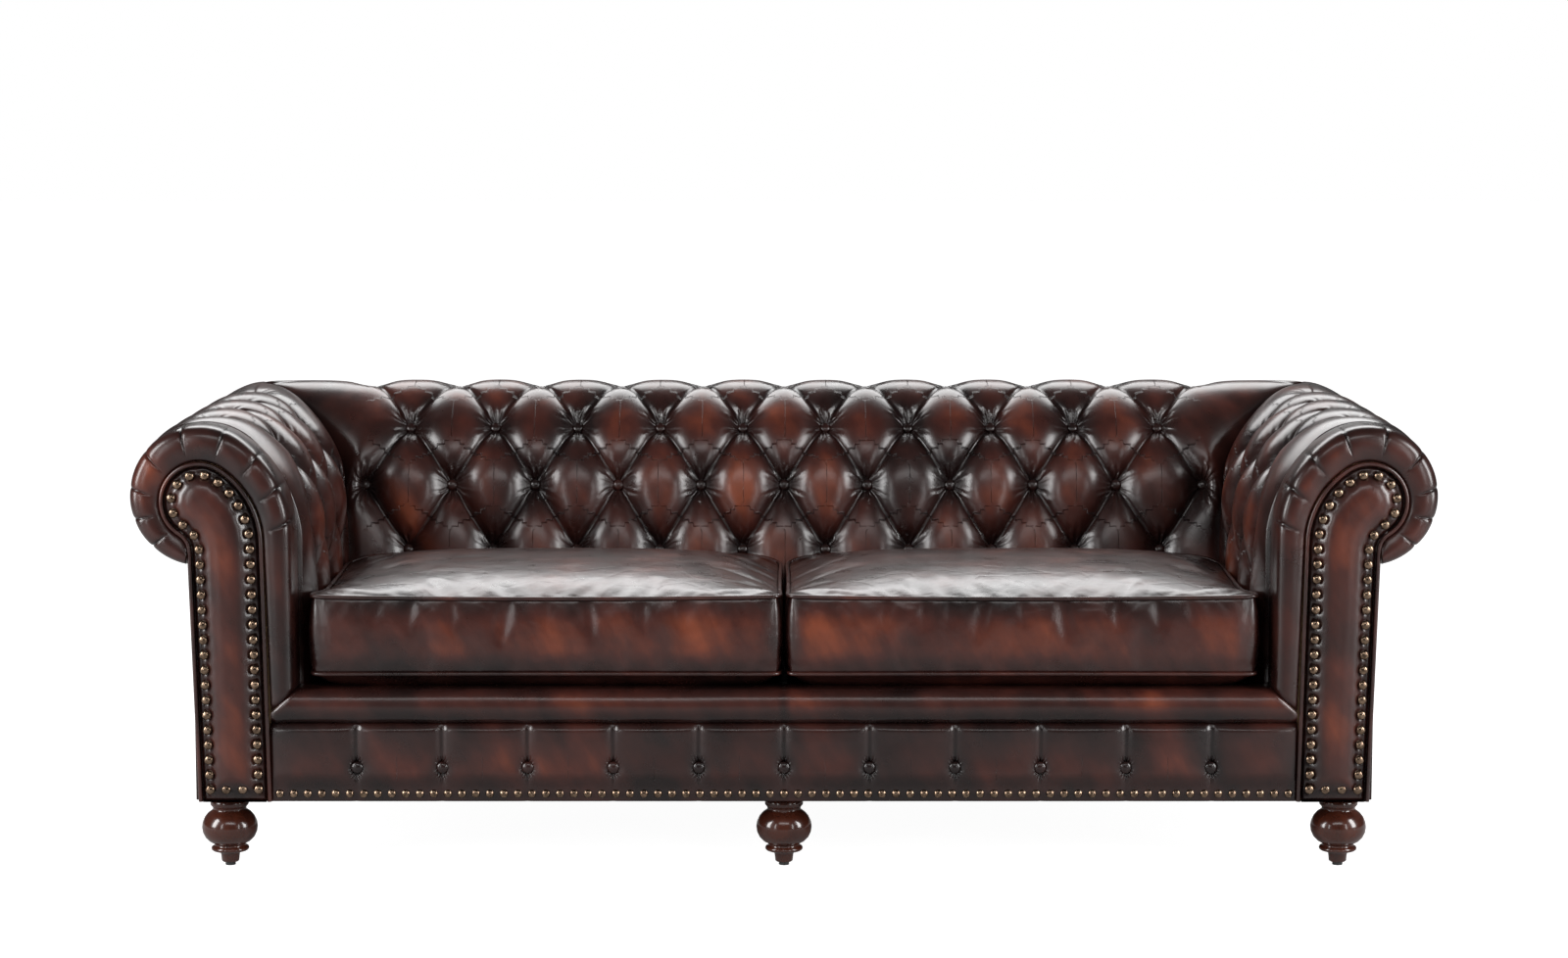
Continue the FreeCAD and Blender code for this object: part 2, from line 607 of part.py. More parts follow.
class TuftedPad:
    """A pad whose buttons stand on even columns in rows 0 and 2 and on odd ones in rows 1 and 3."""

    def __init__(self, section, columns, last, run_centre, corner_gap):
        self.section = section
        self.columns = columns
        self.last = last
        self.first_end = -1
        self.last_end = last + 1
        self.run_centre = run_centre
        self.corner_gap = corner_gap

    def is_button(self, column, row):
        return 0 <= row <= 3 and 0 <= column <= self.last and (column + row) % 2 == 0

    def plan(self, column, row, lift):
        """Place along the roll, distance in front of its centre line and height."""
        ahead, height = section_at(self.section, row, lift)
        if column <= self.last:
            low = math.floor(column)
            share = column - low
            start = self.columns[low]
            return start + (self.columns.get(low + 1, start) - start) * share, ahead, height
        share = column - self.last
        start = self.columns[self.last]
        end, end_ahead, end_height = self.corner(row, lift, ahead, height)
        if row < 0 and lift > -size.pad_thickness and row > -3:
            return self.round_corner(start, end, ahead, share) + (height,)
        return (start + (end - start) * share, ahead + (end_ahead - ahead) * share, height + (end_height - height) * share)

    def corner(self, row, lift, ahead, height):
        """Where the pad meets its neighbour in the mitre at the rear corner of the sofa."""
        side = section_at(arm_section, row, lift)[0]
        if row < 0 and lift > -size.pad_thickness and row > -3:
            bulge = -side / math.sqrt(2)
            return self.run_centre + bulge - self.corner_gap, -bulge, height
        return self.run_centre - side - self.corner_gap, ahead, height

    def round_corner(self, start, end, ahead, share):
        """The roll turns the corner in one wide curve instead of a point."""
        reach = -ahead
        control = self.run_centre + reach * (math.sqrt(2) - 1) - self.corner_gap
        rest = 1 - share
        along = rest ** 2 * start + 2 * share * rest * control + share ** 2 * end
        out = rest ** 2 * reach + 2 * share * rest * reach + share ** 2 * (reach / math.sqrt(2))
        return along, -out


class BackPad(TuftedPad):
    """The back is the same about its middle, and its lower ends stand against the faces of the arms."""

    def corner(self, row, lift, ahead, height):
        butt = self.run_centre - section_at(arm_section, row, 0)[0] - size.butt_gap
        if lift == -size.pad_thickness:
            end = self.run_centre - ahead - self.corner_gap
            return end + (butt - end) * max(0.0, min(1.0, row - 1)), ahead, height
        if row > 2:
            return butt, ahead, height
        return TuftedPad.corner(self, row, lift, *section_at(arm_section, row, lift))

    def spot(self, column, row, lift):
        side = 1
        if column < 0:
            column, side = self.last - column, -1
        along, ahead, height = self.plan(column, row, lift)
        return Vector(side * along, at.roll_y - ahead, height)


class ArmPad(TuftedPad):
    """The arm's pad runs from the pleated border at its front to the mitre at the rear corner."""

    def spot(self, column, row, lift):
        along, ahead, height = self.plan(column, row, lift)
        return Vector(at.roll_x - ahead, along, height)


def back_columns():
    corner = at.roll_x - size.corner_inset
    pitch = (corner - size.corner_gap) / 4
    half = [step * pitch / 2 for step in range(9)] + [corner - size.corner_gap / 2, corner]
    spots = {10 + step: x for step, x in enumerate(half)}
    spots.update({10 - step: -x for step, x in enumerate(half)})
    return spots


def arm_columns():
    corner = at.roll_y - size.arm_corner_inset
    start = at.pad_front + size.arm_first_gap
    spots = {step: start + (corner - start) * step / 6 for step in range(7)}
    spots[-1] = at.pad_front
    return spots


back_pad = BackPad(back_section, back_columns(), 20, at.roll_x, 2 * size.fit)
arm_pad = ArmPad(arm_section, arm_columns(), 6, at.roll_y, 0)


def smooth_end(pad, column, row):
    """An end is drawn flat at the arm's front edge and low down in the corners."""
    return row >= 2 or (pad is arm_pad and column == pad.first_end)


def node_lift(pad, column, row):
    if row in (-3, 4):
        return 0.0
    if column in (pad.first_end, pad.last_end):
        return 0.0 if smooth_end(pad, column, row) else -pleat_at(row)
    if pad.is_button(column, row):
        return -size.tuft_sink
    pleated = column % 2 == (0 if row < 1.5 else 1)
    return -pleat_at(row) if pleated else crown_at(row)


def edge_middle(pad, first, second):
    """Spot halfway along the edge between two nodes: on a pleat, a ridge or the slope between them."""
    column = (first[0] + second[0]) / 2
    row = (first[1] + second[1]) / 2
    ends = (pad.first_end, pad.last_end)
    if row in (-3, 4):
        lift = 0.0
    elif first[0] in ends and second[0] in ends:
        lift = 0.0 if smooth_end(pad, first[0], row) else -pleat_at(row)
    elif pad.is_button(*first) and pad.is_button(*second):
        lift = -size.pleat_depth
    elif first[0] in ends or second[0] in ends:
        lift = 0.4 * crown_at(row) if row < 2 else 0.0
    elif first[0] == second[0]:
        lift = -pleat_at(row) if first[0] % 2 == (0 if row < 1.5 else 1) else crown_at(min(row, 3.5))
    else:
        lift = 0.75 * crown_at(row) - 0.25 * pleat_at(row)
    return pad.spot(column, row, lift)


def puffed(pad, corners, centre_lift, down=4, across=4):
    """One puffed patch; corners are its (column, row) nodes in order round it."""
    mids = [edge_middle(pad, corners[k], corners[(k + 1) % 4]) for k in range(4)]
    column = sum(corner[0] for corner in corners) / 4
    row = sum(corner[1] for corner in corners) / 4
    ends = [pad.spot(c, r, node_lift(pad, c, r)) for c, r in corners]
    centre = pad.spot(column, row, centre_lift)
    return patch([[ends[0], mids[0], ends[1]], [mids[3], centre, mids[1]], [ends[3], mids[2], ends[2]]], down, across)


def tufted_faces(pad):
    faces = []
    last = pad.last
    for column in range(1, last):
        row = 1 if column % 2 == 0 else 2
        faces += puffed(pad, ((column, row - 1), (column + 1, row), (column, row + 1), (column - 1, row)), crown_at(row))
    slope = 0.75 * size.roll_crown - 0.25 * size.pleat_depth
    for column in range(1, last, 2):
        for side in (column - 1, column + 1):
            faces += puffed(pad, ((column, 1), (side, 0), (side, -1), (column, -1)), 1.5 * slope, CELLS_DOWN[-1])
            for row in (-1, -2):
                lift = 0.75 * crown_at(row - 0.5) - 0.25 * pleat_at(row - 0.5)
                faces += puffed(pad, ((column, row), (side, row), (side, row - 1), (column, row - 1)), lift,
                                CELLS_DOWN[row - 1])
    for column in range(2, last, 2):
        for side in (column - 1, column + 1):
            faces += puffed(pad, ((column, 2), (column, 4), (side, 4), (side, 3)), 0.4 * crown_at(3.2))
    for edge, inner, end in ((0, 1, pad.first_end), (last, last - 1, pad.last_end)):
        faces += puffed(pad, ((inner, 1), (edge, 0), (end, 0), (end, 1)), size.corner_crown)
        faces += puffed(pad, ((inner, 1), (end, 1), (end, 2), (edge, 2)), size.corner_crown)
        faces += puffed(pad, ((edge, 2), (end, 2), (end, 3), (inner, 3)), 0.0)
        faces += puffed(pad, ((inner, 3), (end, 3), (end, 4), (inner, 4)), 0.0)
        for row in (0, -1, -2):
            faces += puffed(pad, ((edge, row), (end, row), (end, row - 1), (edge, row - 1)), 0.4 * crown_at(row - 0.5),
                            CELLS_DOWN[row - 1])
    return faces


def pad_solid(pad):
    """Close a tufted face with its flat-backed lining, its two ends, its bottom and its tacking edge."""
    faces = tufted_faces(pad)
    lining = -size.pad_thickness
    ends = (pad.first_end, pad.last_end)
    for row in range(-3, 4):
        inner = {}
        for column in ends:
            inner[column] = [pad.spot(column, r, lining) for r in (row, row + 0.5, row + 1)]
            outer = [pad.spot(column, row, node_lift(pad, column, row)),
                     edge_middle(pad, (column, row), (column, row + 1)),
                     pad.spot(column, row + 1, node_lift(pad, column, row + 1))]
            faces += patch([inner[column], outer], 1, CELLS_DOWN[row])
        faces += patch([inner[ends[0]], inner[ends[1]]], 1, CELLS_DOWN[row])
    over = [(column, column + 1) for column in range(ends[0], ends[1])]
    under = [(ends[0], 1)] + [(column, column + 1) for column in range(1, pad.last - 1)] + [(pad.last - 1, ends[1])]
    for row, spans in ((-3, over), (4, under)):
        edges = []
        for start, end in spans:
            edges += chords([pad.spot(start, row, 0), edge_middle(pad, (start, row), (end, row)), pad.spot(end, row, 0)], 4)
        left, right = pad.spot(ends[0], row, lining), pad.spot(ends[1], row, lining)
        edges.append(Part.makeLine(pad.spot(ends[0], row, 0), left))
        edges.append(Part.makeLine(pad.spot(ends[1], row, 0), right))
        edges.append(Part.makeLine(left, right))
        faces.append(flat_face(edges))
    return sewn(faces)


coded("back_tufted_pad", pad_solid(back_pad))
arm_tufted = coded("right_arm_tufted_pad", pad_solid(arm_pad))
mirrored(arm_tufted, "left_arm_tufted_pad")


# Buttons: leather-covered domes pulled down at each tuft

def button_at(spot, normal):
    turn = FreeCAD.Rotation(Vector(0, 0, 1), normal)
    sides = int(size.button_sides)
    rings = [ring_of(size.button_radius, 0, sides), ring_of(size.button_radius * 0.55, size.button_height, sides)]
    return stacked([[spot + turn.multVec(corner) for corner in ring] for ring in rings])


def pad_buttons(pad, skip=()):
    domes = []
    for column in range(0, pad.last + 1):
        for row in range(4):
            if pad.is_button(column, row) and (column, row) not in skip:
                raised = row == 0 or (pad is back_pad and column in (0, pad.last))
                rest = size.button_seat + (size.raised_button_seat if raised else 0)
                seat = pad.spot(column, row, rest - size.tuft_sink)
                top = pad.spot(column, row, size.tuft_sink)
                domes.append(button_at(seat, top - seat))
    return Part.makeCompound(domes)


coded("back_buttons", pad_buttons(back_pad))
arm_buttons = coded("right_arm_buttons", pad_buttons(arm_pad, skip=((6, 2),)))
mirrored(arm_buttons, "left_arm_buttons")


# Arm front: a pleated leather border round the scroll, with the nailed facing panel and its piping inside it

facing_height = size.roll_height - size.facing_head_drop
facing_section = Section(size.facing_inner_set, 0, size.facing_head_radius, size.facing_shoulder_radius, facing_height)


def facing_hollow():
    """Centre of the hollow under the scroll, and the lean of the line from it to the scroll's centre."""
    reach = size.facing_head_radius + size.facing_hollow_radius
    hollow_x = -(size.facing_outer_set + size.facing_hollow_radius)
    drop = math.sqrt(reach ** 2 - hollow_x ** 2)
    return hollow_x, facing_height - drop, math.degrees(math.atan2(drop, -hollow_x))


def facing_outline(grow):
    """Outline of the facing panel, made larger by grow all round; the last arc is the hollow under the scroll."""
    join = math.degrees(facing_section.join)
    hollow = size.facing_hollow_radius - grow
    hollow_x, hollow_z, lean = facing_hollow()
    centre = (hollow_x, hollow_z)

    def hollow_spot(angle):
        turn = math.radians(angle)
        return scroll_spot((centre[0] + hollow * math.cos(turn), centre[1] + hollow * math.sin(turn)))

    start = scroll_spot((size.facing_foot_inner + grow, at.frame_bottom))
    end = scroll_spot((-size.facing_foot_outer - grow, at.frame_bottom))
    return [start, scroll_spot(facing_section.by_angle(0, grow)),
            (scroll_spot(facing_section.by_angle(join / 2, grow)), scroll_spot(facing_section.by_angle(join, grow))),
            (scroll_spot(facing_section.by_angle(140, grow)), scroll_spot(facing_section.by_angle(180 + lean, grow))),
            (hollow_spot(lean / 2), hollow_spot(0)), end]


facing_edges = chain(facing_outline(0) + facing_outline(0)[:1])
facing = padded_body("right_arm_facing", "XZ_Plane", "0 - Place.post_front", "Size.facing_thickness", edges=facing_edges)
doc.recompute()
facing_pad = facing.Tip
front_rim = []
for number, edge in enumerate(facing_pad.Shape.Edges, start=1):
    box = edge.BoundBox
    if abs(box.YMin - at.front_y) < 0.01 and abs(box.YMax - at.front_y) < 0.01:
        front_rim.append("Edge%d" % number)
rounding = facing.newObject("PartDesign::Chamfer", "facing_rounding")
rounding.Base = (facing_pad, front_rim)
rounding.setExpression("Size", "Size.facing_edge_radius")
keep(facing, "right_arm_facing")
mirrored(facing, "left_arm_facing")


def round_spots(centre, radius, start, end, steps, outside=True):
    """Chords round an arc, outside it where it bulges and inside it where it is hollow."""
    step = (end - start) / steps
    if not outside:
        turns = [math.radians(start + step * k) for k in range(steps + 1)]
    else:
        turns = [math.radians(start + step * (k + 0.5)) for k in range(steps)]
        radius = radius / math.cos(math.radians(step / 2))
    return [(centre[0] + radius * math.cos(turn), centre[1] + radius * math.sin(turn)) for turn in turns]


def piping_line(grow, y):
    """The facing's outline as a line of spots, made larger by grow."""
    join = math.degrees(facing_section.join)
    hollow_x, hollow_z, lean = facing_hollow()
    shoulder = (facing_section.shoulder_centre[0], facing_height + facing_section.shoulder_centre[1])
    spots = [(size.facing_foot_inner + grow, at.frame_bottom)]
    spots += round_spots(shoulder, size.facing_shoulder_radius + grow, 0, join, 8)
    spots += round_spots((0, facing_height), size.facing_head_radius + grow, join, 180 + lean, 14)
    spots += round_spots((hollow_x, hollow_z), size.facing_hollow_radius - grow, lean, 0, 3, outside=False)
    spots += [(-size.facing_foot_outer - grow, at.frame_bottom)]
    return [Vector(at.roll_x - spot[0], y, spot[1]) for spot in spots]


def cord_lines(radius, gap, line):
    """Lines round a piping cord that lies a gap outside an outline."""
    turns = [2 * math.pi * step / size.piping_sides for step in range(int(size.piping_sides))]
    return [line(gap + radius * (1 + math.cos(turn)), radius * math.sin(turn)) for turn in turns]


piping_middle = at.post_front - size.facing_thickness / 2
facing_piping = coded("right_facing_piping", tube(cord_lines(
    size.piping_radius, size.fit, lambda grow, rise: piping_line(grow, piping_middle + rise)), False))
mirrored(facing_piping, "left_facing_piping")

# The pleats of the border, by the lean of the scroll where each one lies
PLEATS = (7, 25, 43, 68.5, 105, 141, 173, 199, 226)


def border_ring(station, pleat):
    """Closed ring of spots across the border at one station; pleat is 1 in a pleat and 0 between two."""
    dip = pleat * size.pleat_depth
    front = at.front_y + size.border_crown
    grow = 2 * size.piping_radius + 6 * size.fit

    def ring(edge, rim, back):
        spots = []
        for share, y in ((0.0, at.post_front - 9), (0.22, front + dip), (0.5, front - 1 + dip), (0.82, front + 5 + 1.5 * dip),
                         (1.0, front + 27)):
            spots.append(Vector(edge.x + (rim.x - edge.x) * share, y, edge.z + (rim.z - edge.z) * share))
        spots.append(Vector(rim.x, (front + 27 + at.pad_front) / 2, rim.z))
        spots.append(Vector(rim.x, at.pad_front - size.fit, rim.z))
        spots.append(Vector(back.x, at.pad_front - size.fit, back.z))
        spots.append(Vector(back.x, at.post_front - size.fit, back.z))
        spots.append(Vector(edge.x, at.post_front - size.fit, edge.z))
        return spots

    def front_spot(spot):
        return Vector(at.roll_x - spot[0], 0, spot[1])

    if station == "foot" or station == "strip":
        edge_x = at.roll_x - size.facing_foot_inner - grow
        rim_x, back_x = at.strip_x, at.post_x - size.fit
        slope = size.lip_mitre_drop / (at.border_edge_x - at.strip_x)
        low = at.lip_top + size.fit
        heights = [low - slope * (x - rim_x) for x in (edge_x, rim_x, back_x)]
        if station == "strip":
            tops = [border_ring(PLEATS[0], 0)[k] for k in (0, 4, 7)]
            heights = [(top.z + height) / 2 for top, height in zip(tops, heights)]
            edge_x = (edge_x + tops[0].x) / 2
        return ring(Vector(edge_x, 0, heights[0]), Vector(rim_x, 0, heights[1]), Vector(back_x, 0, heights[2]))
    if station == "end" or station == "tail":
        hollow = size.facing_hollow_radius - grow
        hollow_x, hollow_z, lean = facing_hollow()
        edge = (hollow_x + hollow, hollow_z)
        rim = strip_section.by_angle(tack_angle - 4)
        back = ((rim[0] + edge[0]) / 2, (rim[1] + edge[1]) / 2)
        if station == "tail":
            turn = math.radians(36)
            edge = (hollow_x + hollow * math.cos(turn) - 3, hollow_z + hollow * math.sin(turn) + 3)
            lean = (PLEATS[-1] + tack_angle) / 2
            rim = strip_section.by_angle(lean)
            back = strip_section.by_angle(lean, 2 - size.border_skirt)
        return ring(front_spot(edge), front_spot(rim), front_spot(back))
    return ring(front_spot(facing_section.by_angle(station, grow)),
                front_spot(strip_section.by_angle(station, -0.5 * dip)),
                front_spot(strip_section.by_angle(station, -size.border_skirt)))


def border_solid():
    stations = [("foot", 0), ("strip", 0), (PLEATS[0], 1)]
    for low, high in zip(PLEATS[:-1], PLEATS[1:]):
        stations += [((low + high) / 2, 0), (high, 1)]
    stations += [("tail", 0), ("end", 0)]
    rings = [border_ring(station, pleat) for station, pleat in stations]
    faces = []
    for start in range(0, len(rings) - 1, 2):
        one, two, three = rings[start:start + 3]
        for a, b, c in ((0, 1, 2), (2, 3, 4), (4, 5, 6)):
            faces += patch([[r[k] for r in (one, two, three)] for k in (a, b, c)], 2, 4)
        for a, b in ((6, 7), (7, 8), (8, 9), (9, 0)):
            faces += patch([[r[k] for r in (one, two, three)] for k in (a, b)], 1, 4)
    for end in (rings[0], rings[-1]):
        edges = []
        for a in (0, 2, 4):
            edges += chords(end[a:a + 3], 2)
        edges += [Part.makeLine(end[a], end[b]) for a, b in ((6, 7), (7, 8), (8, 9), (9, 0))]
        faces.append(flat_face(edges))
    return sewn(faces)


arm_border = coded("right_arm_front_border", border_solid())
mirrored(arm_border, "left_arm_front_border")


# Front lip: a plain padded roll under the cushions, mitred to the arm borders

lip_back = at.post_front - size.board + size.lip_top_depth
lip = doc.addObject("PartDesign::Body", "front_lip")
lip_front = sketch_on(lip, "YZ_Plane", "lip_front_profile", "0 - Place.border_edge_x")
low, high = at.lip_bottom + size.fit, at.lip_top
bulge = at.post_front - size.lip_crown
curve_outline(lip_front, chain([
    Vector(at.post_front, low, 0), Vector(at.post_front - size.lip_crown / 2, low, 0),
    (Vector(bulge, (low + high) / 2, 0), Vector(at.post_front - size.lip_crown / 3, high - 3, 0)),
    Vector(at.post_front, high, 0), Vector(at.post_front, low, 0)]))
lip_pad = lip.newObject("PartDesign::Pad", "lip_front_pad")
lip_pad.Profile = lip_front
lip_pad.setExpression("Length", "2 * Place.border_edge_x")
lip_top = sketch_on(lip, "YZ_Plane", "lip_top_profile", "Size.fit - Place.post_x")
shelf = at.seat_bottom + size.fit
curve_outline(lip_top, chain([
    Vector(at.post_front, shelf, 0), Vector(at.post_front, high, 0), Vector(lip_back - 6, high, 0),
    (Vector(lip_back - 1.8, high - 1.8, 0), Vector(lip_back, high - 6, 0)),
    Vector(lip_back, shelf, 0), Vector(at.post_front, shelf, 0)]))
lip_top_pad = lip.newObject("PartDesign::Pad", "lip_top_pad")
lip_top_pad.Profile = lip_top
lip_top_pad.setExpression("Length", "2 * (Place.post_x - Size.fit)")
mitre = sketch_on(lip, "XZ_Plane", "lip_mitre")
slope = size.lip_mitre_drop / (at.border_edge_x - at.strip_x)
for side in (-1, 1):
    reach = at.border_edge_x - at.strip_x + 40
    curve_outline(mitre, chain([
        Vector(side * (at.strip_x - 10), high + 10 * slope, 0),
        Vector(side * (at.strip_x + reach), high - slope * reach, 0),
        Vector(side * (at.strip_x + reach), high + 10 * slope, 0),
        Vector(side * (at.strip_x - 10), high + 10 * slope, 0)]))
mitre_cut = lip.newObject("PartDesign::Pocket", "lip_mitre_cut")
mitre_cut.Profile = mitre
mitre_cut.Type = "ThroughAll"
mitre_cut.Midplane = True
keep(lip, "front_lip")


# Buttoned front border: one strip of leather with a short pleat through each button

def front_border_solid():
    low, high = at.frame_bottom, at.lip_bottom
    middle = low + size.front_button_height
    back = at.post_front
    edge = back - size.front_border_thickness
    crown = edge - size.front_border_crown
    pleats = [-at.border_edge_x + number * at.front_button_pitch for number in range(1, int(size.front_border_bays))]
    lines = [-at.border_edge_x] + pleats + [at.border_edge_x]
    stations = [lines[0]]
    for start, end in zip(lines[:-1], lines[1:]):
        stations += [(start + end) / 2, end]

    def column(number):
        x = stations[number]
        puffed = number % 2 == 1
        swell = crown if puffed else edge
        seam = edge - (2 if puffed else 0)
        deep = edge + (5 if number % 2 == 0 and 0 < number < len(stations) - 1 else 0)
        return [Vector(x, seam, low), Vector(x, (seam + swell) / 2 - (2 if puffed else 0), (low + middle) / 2),
                Vector(x, swell if puffed else deep, middle), Vector(x, swell if puffed else edge, (middle + high) / 2),
                Vector(x, seam, high)]

    faces = []
    for start in range(0, len(stations) - 1, 2):
        one, two, three = [column(start + step) for step in range(3)]
        for a in (0, 2):
            faces += patch([c[a:a + 3] for c in (one, two, three)], 4, 2)
    columns = [column(number) for number in range(len(stations))]
    for level, z in ((0, low), (4, high)):
        edges = []
        for start in range(0, len(stations) - 1, 2):
            edges += chords([columns[start + step][level] for step in range(3)], 4)
        left, right = Vector(stations[0], back, z), Vector(stations[-1], back, z)
        edges += [Part.makeLine(columns[0][level], left), Part.makeLine(columns[-1][level], right), Part.makeLine(left, right)]
        faces.append(flat_face(edges))
    for end in (columns[0], columns[-1]):
        bottom, top = Vector(end[0].x, back, low), Vector(end[0].x, back, high)
        edges = chords(end[:3], 2) + chords(end[2:], 2)
        edges += [Part.makeLine(end[0], bottom), Part.makeLine(bottom, top), Part.makeLine(top, end[4])]
        faces.append(flat_face(edges))
    x = at.border_edge_x
    corners = [Vector(-x, back, low), Vector(x, back, low), Vector(x, back, high), Vector(-x, back, high)]
    faces.append(Part.Face(Part.makePolygon(corners + corners[:1])))
    return sewn(faces)


coded("front_border", front_border_solid())
front_domes = []
front_seat_y = at.post_front - size.front_border_thickness + size.front_button_seat
for number in range(1, int(size.front_border_bays)):
    seat = Vector(number * at.front_button_pitch - at.border_edge_x, front_seat_y,
                  at.frame_bottom + size.front_button_height)
    front_domes.append(button_at(seat, Vector(0, -1, 0)))
coded("front_buttons", Part.makeCompound(front_domes))


# Outside covers and the dust cover

outside_arm = board("right_outside_arm", ("Place.inside_x", "Place.post_front", "Place.frame_bottom"),
                    ("Place.outside_x", "Place.inside_y", "Size.roll_height - Size.roll_radius"))
mirrored(outside_arm, "left_outside_arm")
board("outside_back", ("0 - Place.outside_x", "Place.inside_y", "Place.frame_bottom"),
      ("Place.outside_x", "Place.outside_y", "Size.roll_height - Size.roll_radius"))
FEET = (("0 - Place.foot_x", "Place.foot_front_y"), ("0", "Place.foot_front_y"), ("Place.foot_x", "Place.foot_front_y"),
        ("0 - Place.foot_x", "Place.foot_back_y"), ("0", "Place.foot_back_y"), ("Place.foot_x", "Place.foot_back_y"))
cloth = bound_box("dust_cloth", ("0 - Place.inside_x", "Place.post_front", "Size.foot_height"),
                  ("Place.inside_x", "Place.inside_y", "Place.frame_bottom"))
keep(drilled("dust_cover", cloth, FEET), "dust_cover")


# Turned feet, their glides and hanger bolts

def foot_profile():
    """Heights and radii up the foot: stem, ring, ball and collar."""
    ball = [(38 + 60 * share, size.foot_ball_radius - swell) for share, swell in (
        (0, 22), (0.15, 8), (0.36, 0), (0.66, 0), (0.87, 8), (1, 20))]
    return [(size.glide_height, size.foot_stem_radius), (25, size.foot_stem_radius + 2),
            (26, size.foot_ring_radius - 2), (30, size.foot_ring_radius), (34, size.foot_ring_radius - 2)] + ball + [(108, size.foot_collar_radius), (size.foot_height, size.foot_collar_radius)]


foot = stacked([ring_of(radius, height, int(size.turned_sides)) for height, radius in foot_profile()])
foot_bore = doc.addObject("Part::Prism", "foot_bore")
foot_bore.setExpression("Polygon", "Size.bolt_sides")
foot_bore.setExpression("Circumradius", "Size.bolt_radius + Size.fit")
foot_bore.setExpression("Height", "Size.bolt_in_foot + Size.fit")
foot_bore.setExpression("Placement.Base.z", "Size.foot_height - Size.bolt_in_foot - Size.fit")
foot_blank = doc.addObject("Part::Feature", "foot_blank")
foot_blank.Shape = foot
turned_foot = doc.addObject("Part::Cut", "turned_foot")
turned_foot.Base = foot_blank
turned_foot.Tool = foot_bore
glide = doc.addObject("Part::Prism", "glide")
glide.setExpression("Polygon", "Size.bolt_sides")
glide.setExpression("Circumradius", "Size.glide_radius")
glide.setExpression("Height", "Size.glide_height")
bolt = doc.addObject("Part::Prism", "bolt")
bolt.setExpression("Polygon", "Size.bolt_sides")
bolt.setExpression("Circumradius", "Size.bolt_radius")
bolt.setExpression("Height", "Size.bolt_length")
bolt.setExpression("Placement.Base.z", "Size.foot_height - Size.bolt_in_foot")
doc.recompute()


def copies(piece, spots):
    shapes = []
    for x, y in spots:
        shape = piece.Shape.copy()
        shape.translate(Vector(x, y, 0))
        shapes.append(shape)
    return Part.makeCompound(shapes)


front_spots = [(x, at.foot_front_y) for x in (-at.foot_x, 0, at.foot_x)]
back_spots = [(x, at.foot_back_y) for x in (-at.foot_x, 0, at.foot_x)]
coded("front_feet", copies(turned_foot, front_spots))
coded("rear_feet", copies(turned_foot, back_spots))
coded("foot_glides", copies(glide, front_spots + back_spots))
coded("hanger_bolts", copies(bolt, front_spots + back_spots))


# Loose cushions: a crowned leather cover with piped seams round a foam core

class Cushion:
    """The right cushion's skin, or one inset all round for what lies inside it."""

    def __init__(self, inset):
        pipe = 2 * size.cushion_piping_radius + size.fit
        self.inset = inset
        self.xs = self.lines(size.cushion_gap + pipe + inset, at.cushion_side - pipe - inset)
        self.ys = self.lines(at.cushion_front + pipe + inset, at.cushion_back - pipe - inset)
        self.low = size.cushion_seam_low + inset
        self.high = size.cushion_seam_high - inset

    def lines(self, start, end):
        middle = (start + end) / 2
        inner = start + 3 * size.cushion_bottom_edge
        half = [start, start + size.cushion_bottom_edge, inner, (inner + middle) / 2, middle]
        return half + [2 * middle - place for place in half[-2::-1]]

    def spot(self, i, j, level):
        """Spot of the skin: level 2 is the top panel, -2 the bottom, and -1 to 1 go up the boxing."""
        x, y = self.xs[i], self.ys[j]
        across = 2 * (x - self.xs[4]) / (self.xs[8] - self.xs[0])
        along = 2 * (y - self.ys[4]) / (self.ys[8] - self.ys[0])
        from_x, from_y = min(i, 8 - i), min(j, 8 - j)
        edge_x = self.xs[from_x] - self.xs[0]
        edge_y = self.ys[from_y] - self.ys[0]
        near = math.exp(-(edge_x + edge_y) / size.cushion_bottom_edge * 2)
        pull = size.cushion_corner_round * near
        swell = size.cushion_boxing_swell * (1 - abs(level)) if abs(level) < 1 else 0
        x -= across ** 3 * (size.cushion_draw_in * (1 - along ** 2) + pull - (swell if from_x == 0 else 0))
        y -= along ** 3 * (size.cushion_draw_in * (1 - across ** 2) + pull - (swell if from_y == 0 else 0))
        high = self.high + size.cushion_corner_lift * (across * along) ** 2
        if level == 2:
            rise = (1 - math.exp(-edge_x / size.cushion_edge_soft)) * (1 - math.exp(-edge_y / size.cushion_edge_soft))
            return Vector(x, y, high + size.cushion_crown * rise)
        if level == -2:
            full = (0, 0.62, 1, 1, 1)
            return Vector(x, y, self.low - (self.low - at.deck_top - size.fit - self.inset) * full[from_x] * full[from_y])
        return Vector(x, y, (self.low + high) / 2 + level * (high - self.low) / 2)

    def edge(self, level):
        """Spots round the cushion at one level of its boxing."""
        path = [(i, 0) for i in range(8)] + [(8, j) for j in range(8)]
        path += [(i, 8) for i in range(8, 0, -1)] + [(0, j) for j in range(8, 0, -1)]
        return [self.spot(i, j, level) for i, j in path]

    def solid(self):
        faces = []
        for level in (2, -2):
            faces += cells([[self.spot(i, j, level) for j in range(9)] for i in range(9)])
        faces += cells([ring + ring[:1] for ring in (self.edge(-1), self.edge(0), self.edge(1))])
        return sewn(faces)


